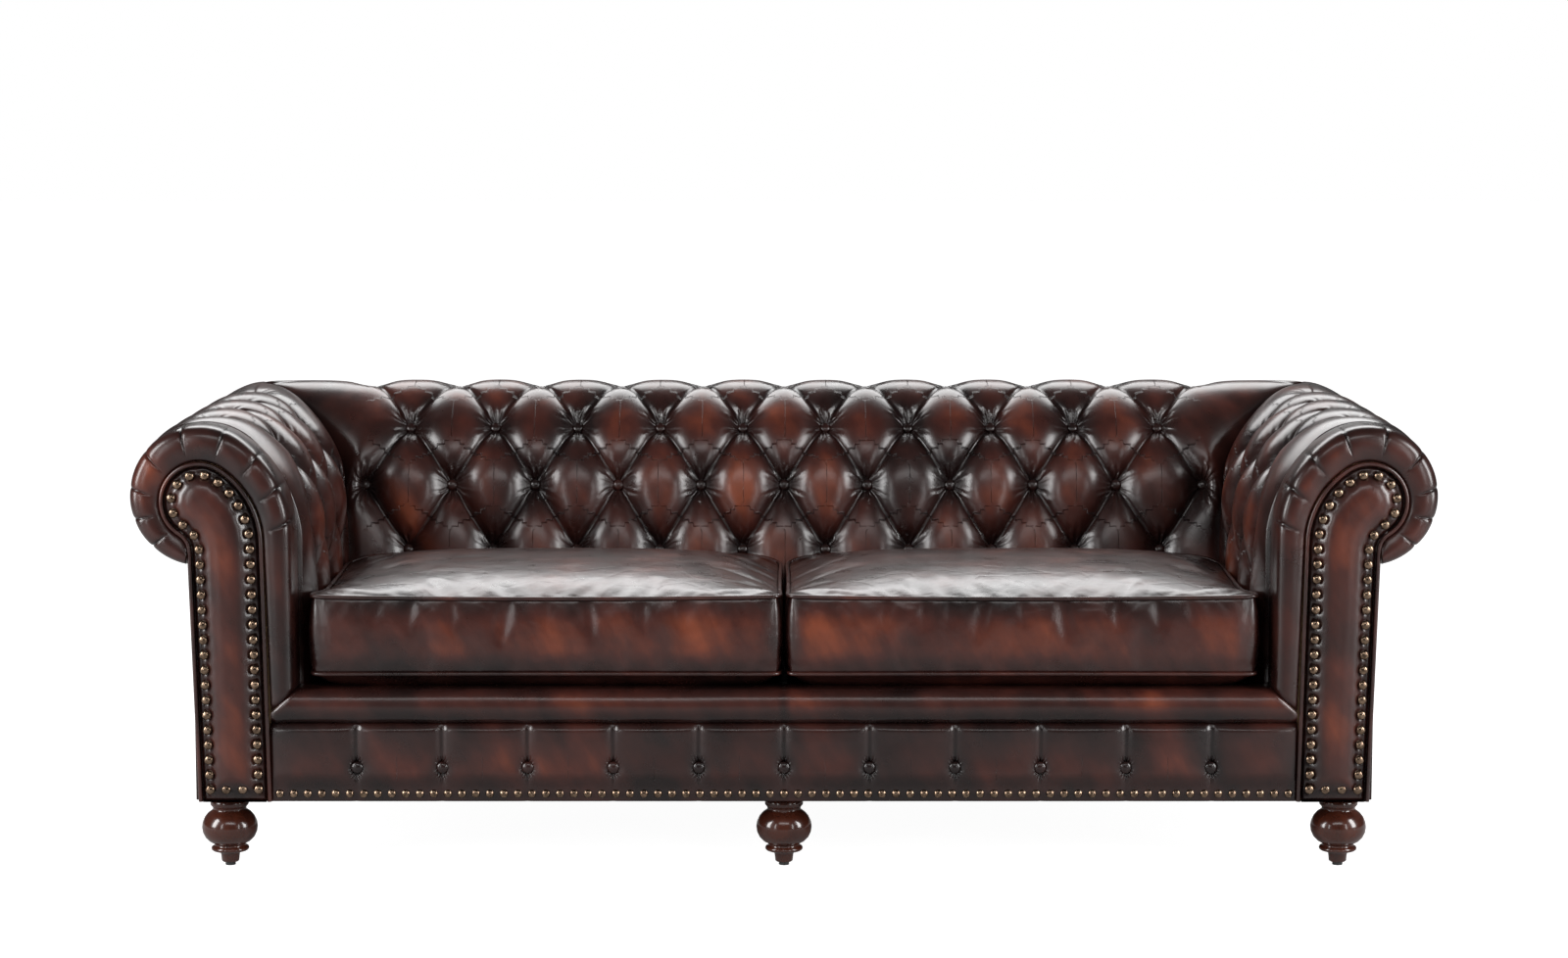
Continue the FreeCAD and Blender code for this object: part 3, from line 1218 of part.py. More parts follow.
cover = doc.addObject("Part::Feature", "cushion_cover_blank")
cover.Shape = Cushion(0).solid()
cavity = doc.addObject("Part::Feature", "cushion_cavity")
cavity.Shape = Cushion(size.leather).solid()
cover_cut = doc.addObject("Part::Cut", "right_cushion_cover")
cover_cut.Base = cover
cover_cut.Tool = cavity
keep(cover_cut, "right_cushion_cover")
core = coded("right_cushion_core", Cushion(size.leather + size.fit).solid())


def seam_piping(level):
    """One closed line of piping round the seam above or below the boxing."""
    def line(grow, rise):
        seam = Cushion(-grow)
        drop = -grow if level < 0 else grow
        return [spot + Vector(0, 0, rise - drop) for spot in seam.edge(level)]
    return tube(cord_lines(size.cushion_piping_radius, size.fit, line), True)


piping = coded("right_cushion_piping", Part.makeCompound([seam_piping(-1), seam_piping(1)]))
zip_centre = (size.cushion_gap + at.cushion_side) / 2
zip_share = size.zip_length / (at.cushion_side - size.cushion_gap)
zip_draw = size.cushion_draw_in * (1 - zip_share ** 2)
zip_back = Cushion(0).ys[8] + size.cushion_boxing_swell - zip_draw + 2 * size.fit
zip_height = (size.cushion_seam_low + size.cushion_seam_high - size.zip_width) / 2
zipper = Part.makeBox(size.zip_length, 1.5, size.zip_width, Vector(zip_centre - size.zip_length / 2, zip_back, zip_height))
zip_piece = coded("right_cushion_zip", zipper)
for piece in (cover_cut, core, piping, zip_piece):
    mirrored(piece, piece.Label.replace("right", "left"))


# Check every piece, then write it

doc.recompute()
os.makedirs("parts", exist_ok=True)
faults = []
for item in doc.Objects:
    if "Invalid" in item.State or "Error" in item.State:
        faults.append("%s: %s" % (item.Label, item.State))
for piece in nodes:
    if piece.Shape.isNull() or not piece.Shape.isValid():
        faults.append("%s: shape" % piece.Label)
    elif piece.Shape.Volume <= 0:
        faults.append("%s: volume" % piece.Label)
if faults:
    raise RuntimeError("; ".join(faults))
for piece in nodes:
    piece.Shape.exportStep("parts/%s.step" % piece.Label)
print("pieces:", len(nodes))
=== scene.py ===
import json
import math
import bmesh
import bpy
import numpy as np
from mathutils import Matrix, Vector, noise

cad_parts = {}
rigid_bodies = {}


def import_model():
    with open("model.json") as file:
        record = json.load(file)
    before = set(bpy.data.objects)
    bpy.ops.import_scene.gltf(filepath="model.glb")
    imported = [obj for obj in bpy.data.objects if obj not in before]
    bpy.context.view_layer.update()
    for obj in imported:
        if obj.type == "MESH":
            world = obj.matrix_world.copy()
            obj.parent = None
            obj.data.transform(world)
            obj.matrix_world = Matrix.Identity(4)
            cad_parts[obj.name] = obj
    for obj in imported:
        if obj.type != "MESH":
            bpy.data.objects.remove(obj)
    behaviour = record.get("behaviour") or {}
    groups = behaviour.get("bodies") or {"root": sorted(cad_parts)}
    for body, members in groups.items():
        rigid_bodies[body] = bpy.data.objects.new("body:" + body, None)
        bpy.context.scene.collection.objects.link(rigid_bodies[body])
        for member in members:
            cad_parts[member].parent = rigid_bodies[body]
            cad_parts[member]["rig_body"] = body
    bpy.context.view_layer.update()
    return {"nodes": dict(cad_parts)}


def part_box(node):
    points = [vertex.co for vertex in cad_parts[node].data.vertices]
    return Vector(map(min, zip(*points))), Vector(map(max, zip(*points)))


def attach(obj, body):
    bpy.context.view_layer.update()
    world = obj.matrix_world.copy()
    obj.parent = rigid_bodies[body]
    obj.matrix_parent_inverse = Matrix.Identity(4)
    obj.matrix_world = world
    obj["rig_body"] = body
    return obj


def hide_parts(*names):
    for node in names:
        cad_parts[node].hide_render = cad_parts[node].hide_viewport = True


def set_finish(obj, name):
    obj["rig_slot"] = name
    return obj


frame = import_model()
scene = bpy.context.scene
scene.view_settings.view_transform = "Standard"

# Camera: a nearly level view, from six and a half metres in front and nearly twice as high as the arms.
# Floor, white surround and large soft lamps: one over the back, one at each side, weaker ones in front.
CAMERA_AWAY, CAMERA_UP, CAMERA_TILT = 6.50, 1.387, 6.64
camera_data = bpy.data.cameras.new("camera")
camera = bpy.data.objects.new("camera", camera_data)
scene.collection.objects.link(camera)
camera.location = (0, -CAMERA_AWAY, CAMERA_UP)
camera.rotation_euler = (math.radians(90 - CAMERA_TILT), 0, 0)
camera_data.lens = 81.72
camera_data.sensor_width = 36
scene.camera = camera


def soft_lamp(name, place, aim, width, height, power):
    """A rectangular lamp that the camera doesn't see, turned toward what it lights."""
    data = bpy.data.lights.new(name, "AREA")
    data.shape = "RECTANGLE"
    data.size, data.size_y = width, height
    data.energy = power
    lamp = bpy.data.objects.new(name, data)
    scene.collection.objects.link(lamp)
    lamp.location = place
    lamp.rotation_euler = (Vector(aim) - Vector(place)).to_track_quat("-Z", "Y").to_euler()
    lamp.visible_camera = False


soft_lamp("top_lamp", (0, 2.6, 3.0), (0, 0, 0.5), 4.4, 1.7, 112)
soft_lamp("left_lamp", (-3.2, -1.6, 1.5), (0, 0, 0.4), 0.9, 2.2, 80)
soft_lamp("right_lamp", (3.2, -1.6, 1.5), (0, 0, 0.4), 0.9, 2.2, 80)
soft_lamp("left_strip", (-2.7, -3.9, 1.3), (-0.4, 0, 0.4), 0.35, 2.0, 17)
soft_lamp("right_strip", (2.7, -3.9, 1.3), (0.4, 0, 0.4), 0.35, 2.0, 17)
soft_lamp("front_lamp", (0, -5.0, 3.6), (0, 0, 0.4), 4.0, 0.8, 42)


def new_material(name):
    material = bpy.data.materials.new(name)
    material.use_nodes = True
    tree = material.node_tree
    return material, tree, tree.nodes["Principled BSDF"]


def add_node(tree, kind, inputs=None, **settings):
    """A shader node with its inputs set, or joined where the value is another node's socket."""
    node = tree.nodes.new("ShaderNode" + kind)
    for key, value in settings.items():
        setattr(node, key, value)
    for key, value in (inputs or {}).items():
        socket = node.inputs[key]
        if isinstance(value, bpy.types.NodeSocket):
            tree.links.new(value, socket)
        else:
            socket.default_value = value
    return node


def maths(tree, kind, first, second=0.0, third=0.0, clamp=False):
    return add_node(tree, "Math", {0: first, 1: second, 2: third}, operation=kind, use_clamp=clamp).outputs[0]


def seen_share(tree, seen, glossy):
    """What the camera sees, a share of it in reflections, and none for the light on the object."""
    path = add_node(tree, "LightPath").outputs
    shine = maths(tree, "MULTIPLY_ADD", path["Is Glossy Ray"], glossy, path["Is Transmission Ray"])
    return maths(tree, "MULTIPLY_ADD", path["Is Camera Ray"], seen, shine)


SURROUND_LIGHT, SURROUND_MIRRORED = 0.28, 0.06
FLOOR_SEEN, FLOOR_MIRRORED = 0.96, 0.03
world = bpy.data.worlds.new("white_surround")
scene.world = world
world.use_nodes = True
air = world.node_tree
share = seen_share(air, 1.0, 0.0)
mirrored = air.nodes["Light Path"].outputs["Is Glossy Ray"]
unseen = maths(air, "MULTIPLY_ADD", mirrored, SURROUND_MIRRORED - SURROUND_LIGHT, SURROUND_LIGHT)
level = maths(air, "MAXIMUM", share, unseen)
air.nodes["Background"].inputs["Color"].default_value = (1, 1, 1, 1)
air.links.new(level, air.nodes["Background"].inputs["Strength"])

bpy.ops.mesh.primitive_plane_add(size=60, location=(0, 0, 0))
floor = bpy.context.object
floor.name = "floor"
floor_paint, tree, paint = new_material("pale_floor")
paint.inputs["Base Color"].default_value = (0.42, 0.42, 0.42, 1)
paint.inputs["Roughness"].default_value = 0.9
paint.inputs["Specular IOR Level"].default_value = 0.0
seen = seen_share(tree, FLOOR_SEEN, FLOOR_MIRRORED)
glow = add_node(tree, "Emission", {"Color": (1, 1, 1, 1), "Strength": seen})
both = add_node(tree, "AddShader", {0: paint.outputs[0], 1: glow.outputs[0]})
tree.links.new(both.outputs[0], tree.nodes["Material Output"].inputs["Surface"])
floor.data.materials.append(floor_paint)


# Leather: hide dyed nearly black, waxed, and worn back by hand rubbing to red brown on every raised part.
# Each piece carries in its mesh its wear and painted shade, lighter where it stands proud and darkened as
# painted shade in its pleats, grooves, seams and button hollows, and its tuft (place from the nearest
# button).
# The reliefs are in metres: gathers round a button, pores, soft waves, and the creases of a loose cover.
GATHER_RELIEF, PORE_RELIEF, WAVE_RELIEF, CREASE_RELIEF = 0.0018, 0.00008, 0.0006, 0.0008
GATHERS_FROM, GATHERS_TO = 0.014, 0.058
FAR_FROM_TUFTS = (9, 9, 9)


def group_socket(group, name, side, kind="NodeSocketFloat", value=None):
    socket = group.interface.new_socket(name, in_out=side, socket_type=kind)
    if value is not None:
        socket.default_value = value


hide = bpy.data.node_groups.new("hand_rubbed_hide_and_painted_shade", "ShaderNodeTree")
group_socket(hide, "Rub_and_shade", "INPUT", value=0.5)
group_socket(hide, "Tuft", "INPUT", "NodeSocketVector")
group_socket(hide, "Creasing", "INPUT", value=0.0)
group_socket(hide, "Color", "OUTPUT", "NodeSocketColor")
group_socket(hide, "Roughness", "OUTPUT")
group_socket(hide, "Height", "OUTPUT")
taken = hide.nodes.new("NodeGroupInput")
given = hide.nodes.new("NodeGroupOutput")


def cloud(tree, spot, scale, detail=3.0, stretch=None):
    if stretch:
        spot = add_node(tree, "Mapping", {"Vector": spot, "Scale": stretch}).outputs[0]
    return add_node(tree, "TexNoise", {"Vector": spot, "Scale": scale, "Detail": detail}).outputs["Fac"]


spot = add_node(hide, "TexCoord").outputs["Object"]
wide = cloud(hide, spot, 7.0)
middling = cloud(hide, spot, 24.0, 5.0)
slanted = add_node(hide, "Mapping", {"Vector": spot, "Rotation": (0.0, 0.5, 0.0)}).outputs[0]
streaks = cloud(hide, slanted, 16.0, 4.0, (1.0, 1.0, 0.32))
patchy = maths(hide, "MULTIPLY_ADD", wide, 1.1, -0.55)
patchy = maths(hide, "MULTIPLY_ADD", maths(hide, "ADD", streaks, -0.5), 1.1, patchy)
# Wear and painted shade with random patches set the tone: near black where shade is painted, red brown where
# worn.
rubbed_and_shaded = maths(hide, "ADD", taken.outputs["Rub_and_shade"], patchy, clamp=True)
ramp = add_node(hide, "ValToRGB", {"Fac": rubbed_and_shaded})
stops = ramp.color_ramp
stops.elements[0].position, stops.elements[0].color = 0.0, (0.0095, 0.0032, 0.0028, 1)
stops.elements[1].position, stops.elements[1].color = 1.0, (0.220, 0.049, 0.0185, 1)
for place, colour in ((0.33, (0.030, 0.0082, 0.0062, 1)), (0.58, (0.060, 0.0138, 0.0090, 1)),
                      (0.80, (0.120, 0.0262, 0.0122, 1))):
    stops.elements.new(place).color = colour
tone = add_node(hide, "MixRGB", {"Fac": 0.35, 1: ramp.outputs[0], 2: middling}, blend_type="OVERLAY")
hide.links.new(tone.outputs[0], given.inputs["Color"])
shine = maths(hide, "MULTIPLY_ADD", middling, 0.16, 0.20)
hide.links.new(maths(hide, "MULTIPLY_ADD", rubbed_and_shaded, 0.05, shine), given.inputs["Roughness"])
apart = add_node(hide, "SeparateXYZ", {0: taken.outputs["Tuft"]})
reach = add_node(hide, "VectorMath", {0: taken.outputs["Tuft"]}, operation="LENGTH").outputs["Value"]
turn = maths(hide, "ARCTAN2", apart.outputs["X"], apart.outputs["Y"])
wobble = maths(hide, "MULTIPLY", cloud(hide, spot, 30.0), 9.0)
gather = maths(hide, "SINE", maths(hide, "MULTIPLY_ADD", turn, 15.0, wobble))
near = add_node(hide, "MapRange", {"Value": reach, "From Min": GATHERS_FROM, "From Max": GATHERS_TO,
                                   "To Min": 1.0, "To Max": 0.0}, interpolation_type="SMOOTHSTEP").outputs[0]
upright = maths(hide, "POWER", maths(hide, "ABSOLUTE", maths(hide, "COSINE", turn)), 1.5)
tucks = maths(hide, "MULTIPLY", maths(hide, "MULTIPLY", gather, near), upright)
grain = cloud(hide, spot, 420.0, 2.0)
cells = add_node(hide, "TexVoronoi", {"Vector": spot, "Scale": 13.0}, feature="DISTANCE_TO_EDGE").outputs[0]
crease_lines = add_node(hide, "MapRange", {"Value": cells, "From Min": 0.0, "From Max": 0.09,
                                           "To Min": -0.4, "To Max": 0.0},
                        interpolation_type="SMOOTHSTEP").outputs[0]
rumpled = maths(hide, "MULTIPLY_ADD", cloud(hide, spot, 15.0, 4.0), 5.0, crease_lines)
creased = maths(hide, "MULTIPLY", rumpled, taken.outputs["Creasing"])
height = maths(hide, "MULTIPLY", tucks, GATHER_RELIEF)
height = maths(hide, "MULTIPLY_ADD", grain, PORE_RELIEF, height)
height = maths(hide, "MULTIPLY_ADD", middling, WAVE_RELIEF, height)
height = maths(hide, "MULTIPLY_ADD", creased, CREASE_RELIEF, height)
hide.links.new(height, given.inputs["Height"])


def leather(name, rub_and_shade=None, creasing=0.0, tufted=False):
    """Leather that reads the piece's own wear and painted shade, or is worn evenly where a piece has none."""
    material, tree, skin = new_material(name)
    worn = add_node(tree, "Group", {}, node_tree=hide)
    worn.inputs["Creasing"].default_value = creasing
    if rub_and_shade is None:
        own_rub = add_node(tree, "Attribute", attribute_name="rub_and_shade")
        tree.links.new(own_rub.outputs["Fac"], worn.inputs["Rub_and_shade"])
    else:
        worn.inputs["Rub_and_shade"].default_value = rub_and_shade
    if tufted:
        own_tuft = add_node(tree, "Attribute", attribute_name="tuft")
        tree.links.new(own_tuft.outputs["Vector"], worn.inputs["Tuft"])
    else:
        worn.inputs["Tuft"].default_value = FAR_FROM_TUFTS
    bump = add_node(tree, "Bump", {"Height": worn.outputs["Height"], "Distance": 1.0, "Strength": 1.0})
    tree.links.new(worn.outputs["Color"], skin.inputs["Base Color"])
    tree.links.new(worn.outputs["Roughness"], skin.inputs["Roughness"])
    tree.links.new(bump.outputs[0], skin.inputs["Normal"])
    skin.inputs["Specular IOR Level"].default_value = 0.55
    skin.inputs["Coat Weight"].default_value = 0.25
    skin.inputs["Coat Roughness"].default_value = 0.22
    return material


def mark(mesh, name, values, kind="FLOAT", field="value"):
    """Keep a value or a place for each point of a mesh, for its material to read."""
    kept = mesh.attributes.new(name, kind, "POINT")
    kept.data.foreach_set(field, np.array(values, np.float32).ravel())


def piece_from(name, spots, faces, material, slot, body="sofa", rub_and_shade=None, tuft=None):
    """A smooth piece in its place, with its finish, its wear and painted shade, and the body that it rides
    on.
    """
    mesh = bpy.data.meshes.new(name)
    mesh.from_pydata([tuple(s) for s in spots], [], faces)
    piece = bpy.data.objects.new(name, mesh)
    scene.collection.objects.link(piece)
    shell = bmesh.new()
    shell.from_mesh(mesh)
    bmesh.ops.recalc_face_normals(shell, faces=shell.faces)
    shell.to_mesh(mesh)
    shell.free()
    mesh.shade_smooth()
    mesh.materials.append(material)
    if rub_and_shade is not None:
        mark(mesh, "rub_and_shade", rub_and_shade)
    if tuft is not None:
        mark(mesh, "tuft", tuft, "FLOAT_VECTOR", "vector")
    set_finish(piece, slot)
    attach(piece, body)
    return piece


def grid_faces(rows, across, closed_across=False):
    """Faces between rows of spots, joined round from the last column to the first where it is closed."""
    faces = []
    for r in range(rows - 1):
        for c in range(across if closed_across else across - 1):
            c2 = (c + 1) % across
            faces.append((r * across + c, r * across + c2, (r + 1) * across + c2, (r + 1) * across + c))
    return faces


def backing_faces(rows, across, start):
    """Close a grid of spots over two lines of spots that stand behind its ends, one pair for each row."""
    faces = []
    for r in range(rows - 1):
        a, b = start + 2 * r, start + 2 * (r + 1)
        faces.append((a, b, b + 1, a + 1))
        faces.append((r * across, (r + 1) * across, b, a))
        faces.append((r * across + across - 1, a + 1, b + 1, (r + 1) * across + across - 1))
    last = (rows - 1) * across
    faces.append(tuple(range(across)) + (start + 1, start))
    faces.append(tuple(range(last, last + across)) + (start + 2 * rows - 1, start + 2 * rows - 2))
    return faces


# Tufted back and arms: a cover over each padded face and roll, drawn down to buttons on a diamond pitch.
# Pleats run from button to button, and straight from the crest over the roll to the tacks under it.
# Angles go round the roll from its front, and runs go from its crest down the face. FRONT_Y is the face of
# the arm fronts, PAD_FRONT the end of the tufting behind them, and POST_FRONT the face of the frame's posts.
ROLL, ROLL_HEIGHT, SHOULDER = 0.121, 0.654, 0.250
ROLL_X, ROLL_Y = 0.999, 0.359
FRONT_Y, PAD_FRONT, POST_FRONT = -0.480, -0.390, -0.450
TACKED = 261.9
ROWS = (0.0, 0.142, 0.265, 0.388)
PAD_FOOT = 0.2685
FOOT_RUN, BEHIND_RUN = 0.16, 0.095
LINING, BACK_LINING_X = -0.0435, 0.834
CREST_CROWN, FACE_CROWN = 0.007, 0.012
PLEAT_DEPTH, PLEAT_WIDTH = 0.0045, 0.0045
BUTTON_DIP, DIP_WIDTH = 0.0130, 0.025
HALF_PITCH = 0.0785
ARM_COLUMN_Y = -0.304


class Rolled:
    """The padded section seen end on: a straight face, a wide shoulder and the roll."""

    def __init__(self, face_set, rake, shoulder, roll=ROLL, height=ROLL_HEIGHT):
        self.rake, self.roll, self.shoulder, self.height = math.radians(rake), roll, shoulder, height
        spread = shoulder - roll
        self.join = self.rake + math.acos((shoulder - face_set) / spread)
        self.centre = (-spread * math.cos(self.join), -spread * math.sin(self.join))
        self.crest_run = roll * (math.pi / 2 - self.join)
        self.shoulder_run = shoulder * (self.join - self.rake)

    def by_angle(self, angle, lift=0.0):
        turn = math.radians(angle)
        centre, radius = ((0.0, 0.0), self.roll) if turn >= self.join else (self.centre, self.shoulder)
        radius += lift
        return (centre[0] + radius * math.cos(turn), self.height + centre[1] + radius * math.sin(turn))

    def by_run(self, run, lift=0.0):
        if run <= self.crest_run:
            return self.by_angle(90 - math.degrees(run / self.roll), lift)
        if run <= self.crest_run + self.shoulder_run:
            return self.by_angle(math.degrees(self.join - (run - self.crest_run) / self.shoulder), lift)
        down = run - self.crest_run - self.shoulder_run
        top = self.by_angle(math.degrees(self.rake), lift)
        return (top[0] + down * math.sin(self.rake), top[1] - down * math.cos(self.rake))

    def by_height(self, height, lift=0.0):
        top = self.by_angle(math.degrees(self.rake), lift)
        return (top[0] + (top[1] - height) * math.tan(self.rake), height)


arm_section = Rolled(0.163, 0, SHOULDER)
back_section = Rolled(0.158, 12, SHOULDER)


def between(values, place):
    """The value at a place between listed ones, carried on past the last."""
    step = min(max(int(place), 0), len(values) - 2)
    return values[step] + (values[step + 1] - values[step]) * (place - step)


def section_at(section, row, lift):
    """Rows 0 to 3 go down the face by its buttons, 4 is the foot, and -3 is where the cover is tacked."""
    if row > 3:
        low, high = section.by_height(PAD_FOOT, lift), section.by_run(ROWS[3], lift)
        return tuple(high[k] + (low[k] - high[k]) * (row - 3) for k in (0, 1))
    if row < 0:
        return section.by_angle(between((90, 135, 180, TACKED), -row), lift)
    return section.by_run(between(ROWS, row), lift)


def eased(value):
    value = max(0.0, min(1.0, value))
    return value * value * (3 - 2 * value)


class Pad:
    """Columns are places along the roll. Rows 0 and 2 have buttons on even columns, 1 and 3 on odd ones."""

    def __init__(self, section, columns, first, last, middle, is_back):
        self.section, self.columns, self.first, self.last = section, columns, first, last
        self.middle, self.is_back = middle, is_back

    def plan(self, column, row, lift):
        """Place along the roll, distance ahead of it and height, with the mitre into the other pad."""
        ahead, height = section_at(self.section, row, lift)
        if column <= self.last:
            low = math.floor(column)
            start = self.columns[low]
            return start + (self.columns.get(low + 1, start) - start) * (column - low), ahead, height
        share, start = column - self.last, self.columns[self.last]
        gap = 0.0006 if self.is_back else 0.0
        side, side_height = section_at(arm_section, row, lift)
        if row >= 0:
            end, end_ahead, end_height = self.middle - side - gap, side, side_height
            if self.is_back:
                butt = self.middle - section_at(arm_section, row, 0.0)[0] - 0.002
                low_down = eased((row - 1.5) / 0.9)
                end += (butt - end) * low_down
                end_ahead += (ahead - end_ahead) * low_down
                end_height += (height - end_height) * low_down
            return (start + (end - start) * share, ahead + (end_ahead - ahead) * share,
                    height + (end_height - height) * share)
        reach = -ahead
        square = eased(-row - 2)
        corner = reach * (1 / math.sqrt(2) + (1 - 1 / math.sqrt(2)) * square)
        control = reach * (math.sqrt(2) - 1) * (1 - square) + reach * 0.5 * square
        rest = 1 - share
        along = (rest ** 2 * start + 2 * share * rest * (self.middle + control - gap)
                 + share ** 2 * (self.middle + corner - gap))
        out = rest ** 2 * reach + 2 * share * rest * reach + share ** 2 * corner
        return along, -out, height

    def spot(self, column, row, lift):
        if self.is_back:
            side = 1
            if column < 10:
                column, side = 20 - column, -1
            along, ahead, height = self.plan(column, row, lift)
            return Vector((side * along, ROLL_Y - ahead, height))
        along, ahead, height = self.plan(column, row, lift)
        return Vector((ROLL_X - ahead, along, height))

    def buttons(self):
        return [(c, r) for r in range(4) for c in range(0, self.last + 1) if (c + r) % 2 == 0]


def hump(share, power=2.7):
    return 1 - abs(2 * share - 1) ** power


def to_whole(value):
    return abs(value - round(value))


def band_edge(row):
    """Columns from the end button column to the zigzag of pleats that ends the diamonds."""
    if row <= 0:
        return 0.0
    if row >= 3:
        return 1.0
    return to_whole(row / 2) * 2


def tufting(pad, column, row):
    """Lift off the plain section, and how proud the leather is, which makes it lighter on the puffs and
    darker in the pleats as painted shade.
    """
    level = min(max(row, 0.0), 3.0)
    a, b = (column + level) / 2, (column - level) / 2
    puff = hump(a % 1) * hump(b % 1)
    crease = min(to_whole(a), to_whole(b)) * 0.132
    full = CREST_CROWN if row <= 0 else CREST_CROWN + FACE_CROWN * min(row, 1)
    fade = max(0.0, min(1.0, 1 + row / 3))
    full *= max(0.0, 1 + row / 3.2) if row < 0 else 1.0
    puff *= 1 + 0.30 * noise.noise(Vector((math.floor(a) * 1.7, math.floor(b) * 2.3, 0.5)))
    left, right = column - pad.first, pad.last + 1 - column
    rounded = False
    edge = band_edge(row)
    if not pad.is_back and left < 1 + edge:
        w = left / (1 + edge)
        puff = (1 - w ** 2.6) * (1 - (1 - w) ** 3) * 1.15
        crease = (1 + edge - left) * 0.06
        rounded = True
    for near, used in ((right, True), (left, pad.is_back)):
        if used and near < 1 + edge:
            w = near / (1 + edge)
            puff = hump(w, 2.0) * 0.85
            crease = min(near * 0.085, (1 + edge - near) * 0.06)
            rounded = True
    lift = full * puff - PLEAT_DEPTH * math.exp(-crease / PLEAT_WIDTH) * fade
    # Over the roll, in rows below 0, the puffs are made less than half as light, and the rounded ends a
    # little darker.
    return lift, puff * (0.75 if rounded else 1.0) * (0.45 if row < 0 else 1.0)


def tufted_pad(name, pad, steps, material):
    """The cover of a pad from its tacks over the roll to its foot, closed by the lining behind it."""
    ups = [-3 + k / steps for k in range(7 * steps + 1)]
    alongs = [pad.first + k / steps for k in range((pad.last + 1 - pad.first) * steps + 1)]
    seats = np.array([(pad.columns[c], -ROWS[r] if r else 0.0) for c, r in pad.buttons()])
    spots, rubs_and_shade, tufts = [], [], []
    for row in ups:
        if row > 3:
            run = ROWS[3] + (row - 3) * FOOT_RUN
        else:
            run = between(ROWS, row) if row >= 0 else row * BEHIND_RUN
        for column in alongs:
            lift, rub_and_shade = tufting(pad, column, row)
            place = pad.plan(column if not pad.is_back or column >= 10 else 20 - column, row, 0.0)[0]
            if pad.is_back and column < 10:
                place = -place
            off = np.array((place, -run)) - seats
            far = np.hypot(off[:, 0], off[:, 1])
            k = int(far.argmin())
            dip = math.exp(-(far[k] / DIP_WIDTH) ** 1.6)
            lift -= BUTTON_DIP * dip
            spots.append(pad.spot(column, row, lift))
            # Worn lighter on the proud puffs, with painted shade darkening the pleats and the hollow round
            # each button.
            rubs_and_shade.append(max(0.0, min(1.0, 0.14 + 0.48 * rub_and_shade - 0.35 * dip)))
            tufts.append((off[k, 0], off[k, 1], 0.0))
    across = len(alongs)
    faces = []
    for r in range(len(ups) - 1):
        level = min(max((ups[r] + ups[r + 1]) / 2, 0.0), 3.0)
        for c in range(across - 1):
            middle = (alongs[c] + alongs[c + 1]) / 2
            q = (r * across + c, r * across + c + 1, (r + 1) * across + c + 1, (r + 1) * across + c)
            if to_whole((middle + level) / 2) < to_whole((middle - level) / 2):
                faces += [(q[0], q[1], q[3]), (q[1], q[2], q[3])]
            else:
                faces += [(q[0], q[1], q[2]), (q[0], q[2], q[3])]
    start = len(spots)
    for row in ups:
        for column in (alongs[0], alongs[-1]):
            inner = pad.spot(column, row, LINING)
            if pad.is_back and row > 1:
                inner.x = math.copysign(min(abs(inner.x), BACK_LINING_X), inner.x)
            spots.append(inner)
            rubs_and_shade.append(0.0)
            tufts.append(FAR_FROM_TUFTS)
    faces += backing_faces(len(ups), across, start)
    return piece_from(name, spots, faces, material, "tufted_leather", rub_and_shade=rubs_and_shade, tuft=tufts)


half = [step * HALF_PITCH for step in range(9)] + [0.7105, 0.793]
back_columns = {10 + k: x for k, x in enumerate(half)}
back_columns.update({10 - k: -x for k, x in enumerate(half)})
arm_columns = {k: ARM_COLUMN_Y + k * HALF_PITCH for k in range(7)}
arm_columns[-1] = PAD_FRONT
back_pad = Pad(back_section, back_columns, -1, 20, ROLL_X, True)
arm_pad = Pad(arm_section, arm_columns, -1, 6, ROLL_Y, False)

tufted_leather = leather("tufted_leather", tufted=True)
steps = 19
back = tufted_pad("tufted_back", back_pad, steps, tufted_leather)
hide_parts("back_tufted_pad", "back_roll_core")
right_arm = tufted_pad("right_tufted_arm", arm_pad, steps + 4, tufted_leather)


def left_copy(piece, name):
    """The same piece made for the other side."""
    twin = piece.copy()
    twin.data = piece.data.copy()
    twin.name = name
    scene.collection.objects.link(twin)
    twin.data.transform(Matrix.Scale(-1, 4, (1, 0, 0)))
    twin.data.flip_normals()
    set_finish(twin, piece["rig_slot"])
    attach(twin, piece["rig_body"])
    return twin


left_arm = left_copy(right_arm, "left_tufted_arm")
for arm, side in ((right_arm, "right"), (left_arm, "left")):
    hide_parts(side + "_arm_tufted_pad", side + "_arm_roll_core")


# Covered buttons: shallow metal shells covered in dark leather, pulled down on twine through the padding.
# One dome is turned and copied to every tuft.
BUTTON_RADIUS, BUTTON_FLATNESS = 0.0105, 0.55
BUTTON_SUNK, BUTTON_OUTWARD = 0.0115, 0.013


def select_only(piece):
    bpy.ops.object.select_all(action="DESELECT")
    piece.select_set(True)
    bpy.context.view_layer.objects.active = piece


def flattened_ball(segments, rings, radius, flatness):
    """A small ball pressed flat, to be copied as a button or the head of a nail."""
    bpy.ops.object.select_all(action="DESELECT")
    bpy.ops.mesh.primitive_uv_sphere_add(segments=segments, ring_count=rings, radius=radius,
                                         location=(0, 0, 0))
    ball = bpy.context.object
    bpy.ops.object.mode_set(mode="EDIT")
    bpy.ops.mesh.select_all(action="SELECT")
    bpy.ops.transform.resize(value=(1, 1, flatness))
    bpy.ops.object.mode_set(mode="OBJECT")
    return ball


button_leather = leather("button_leather", rub_and_shade=0.08)
dome = flattened_ball(18, 10, BUTTON_RADIUS, BUTTON_FLATNESS)


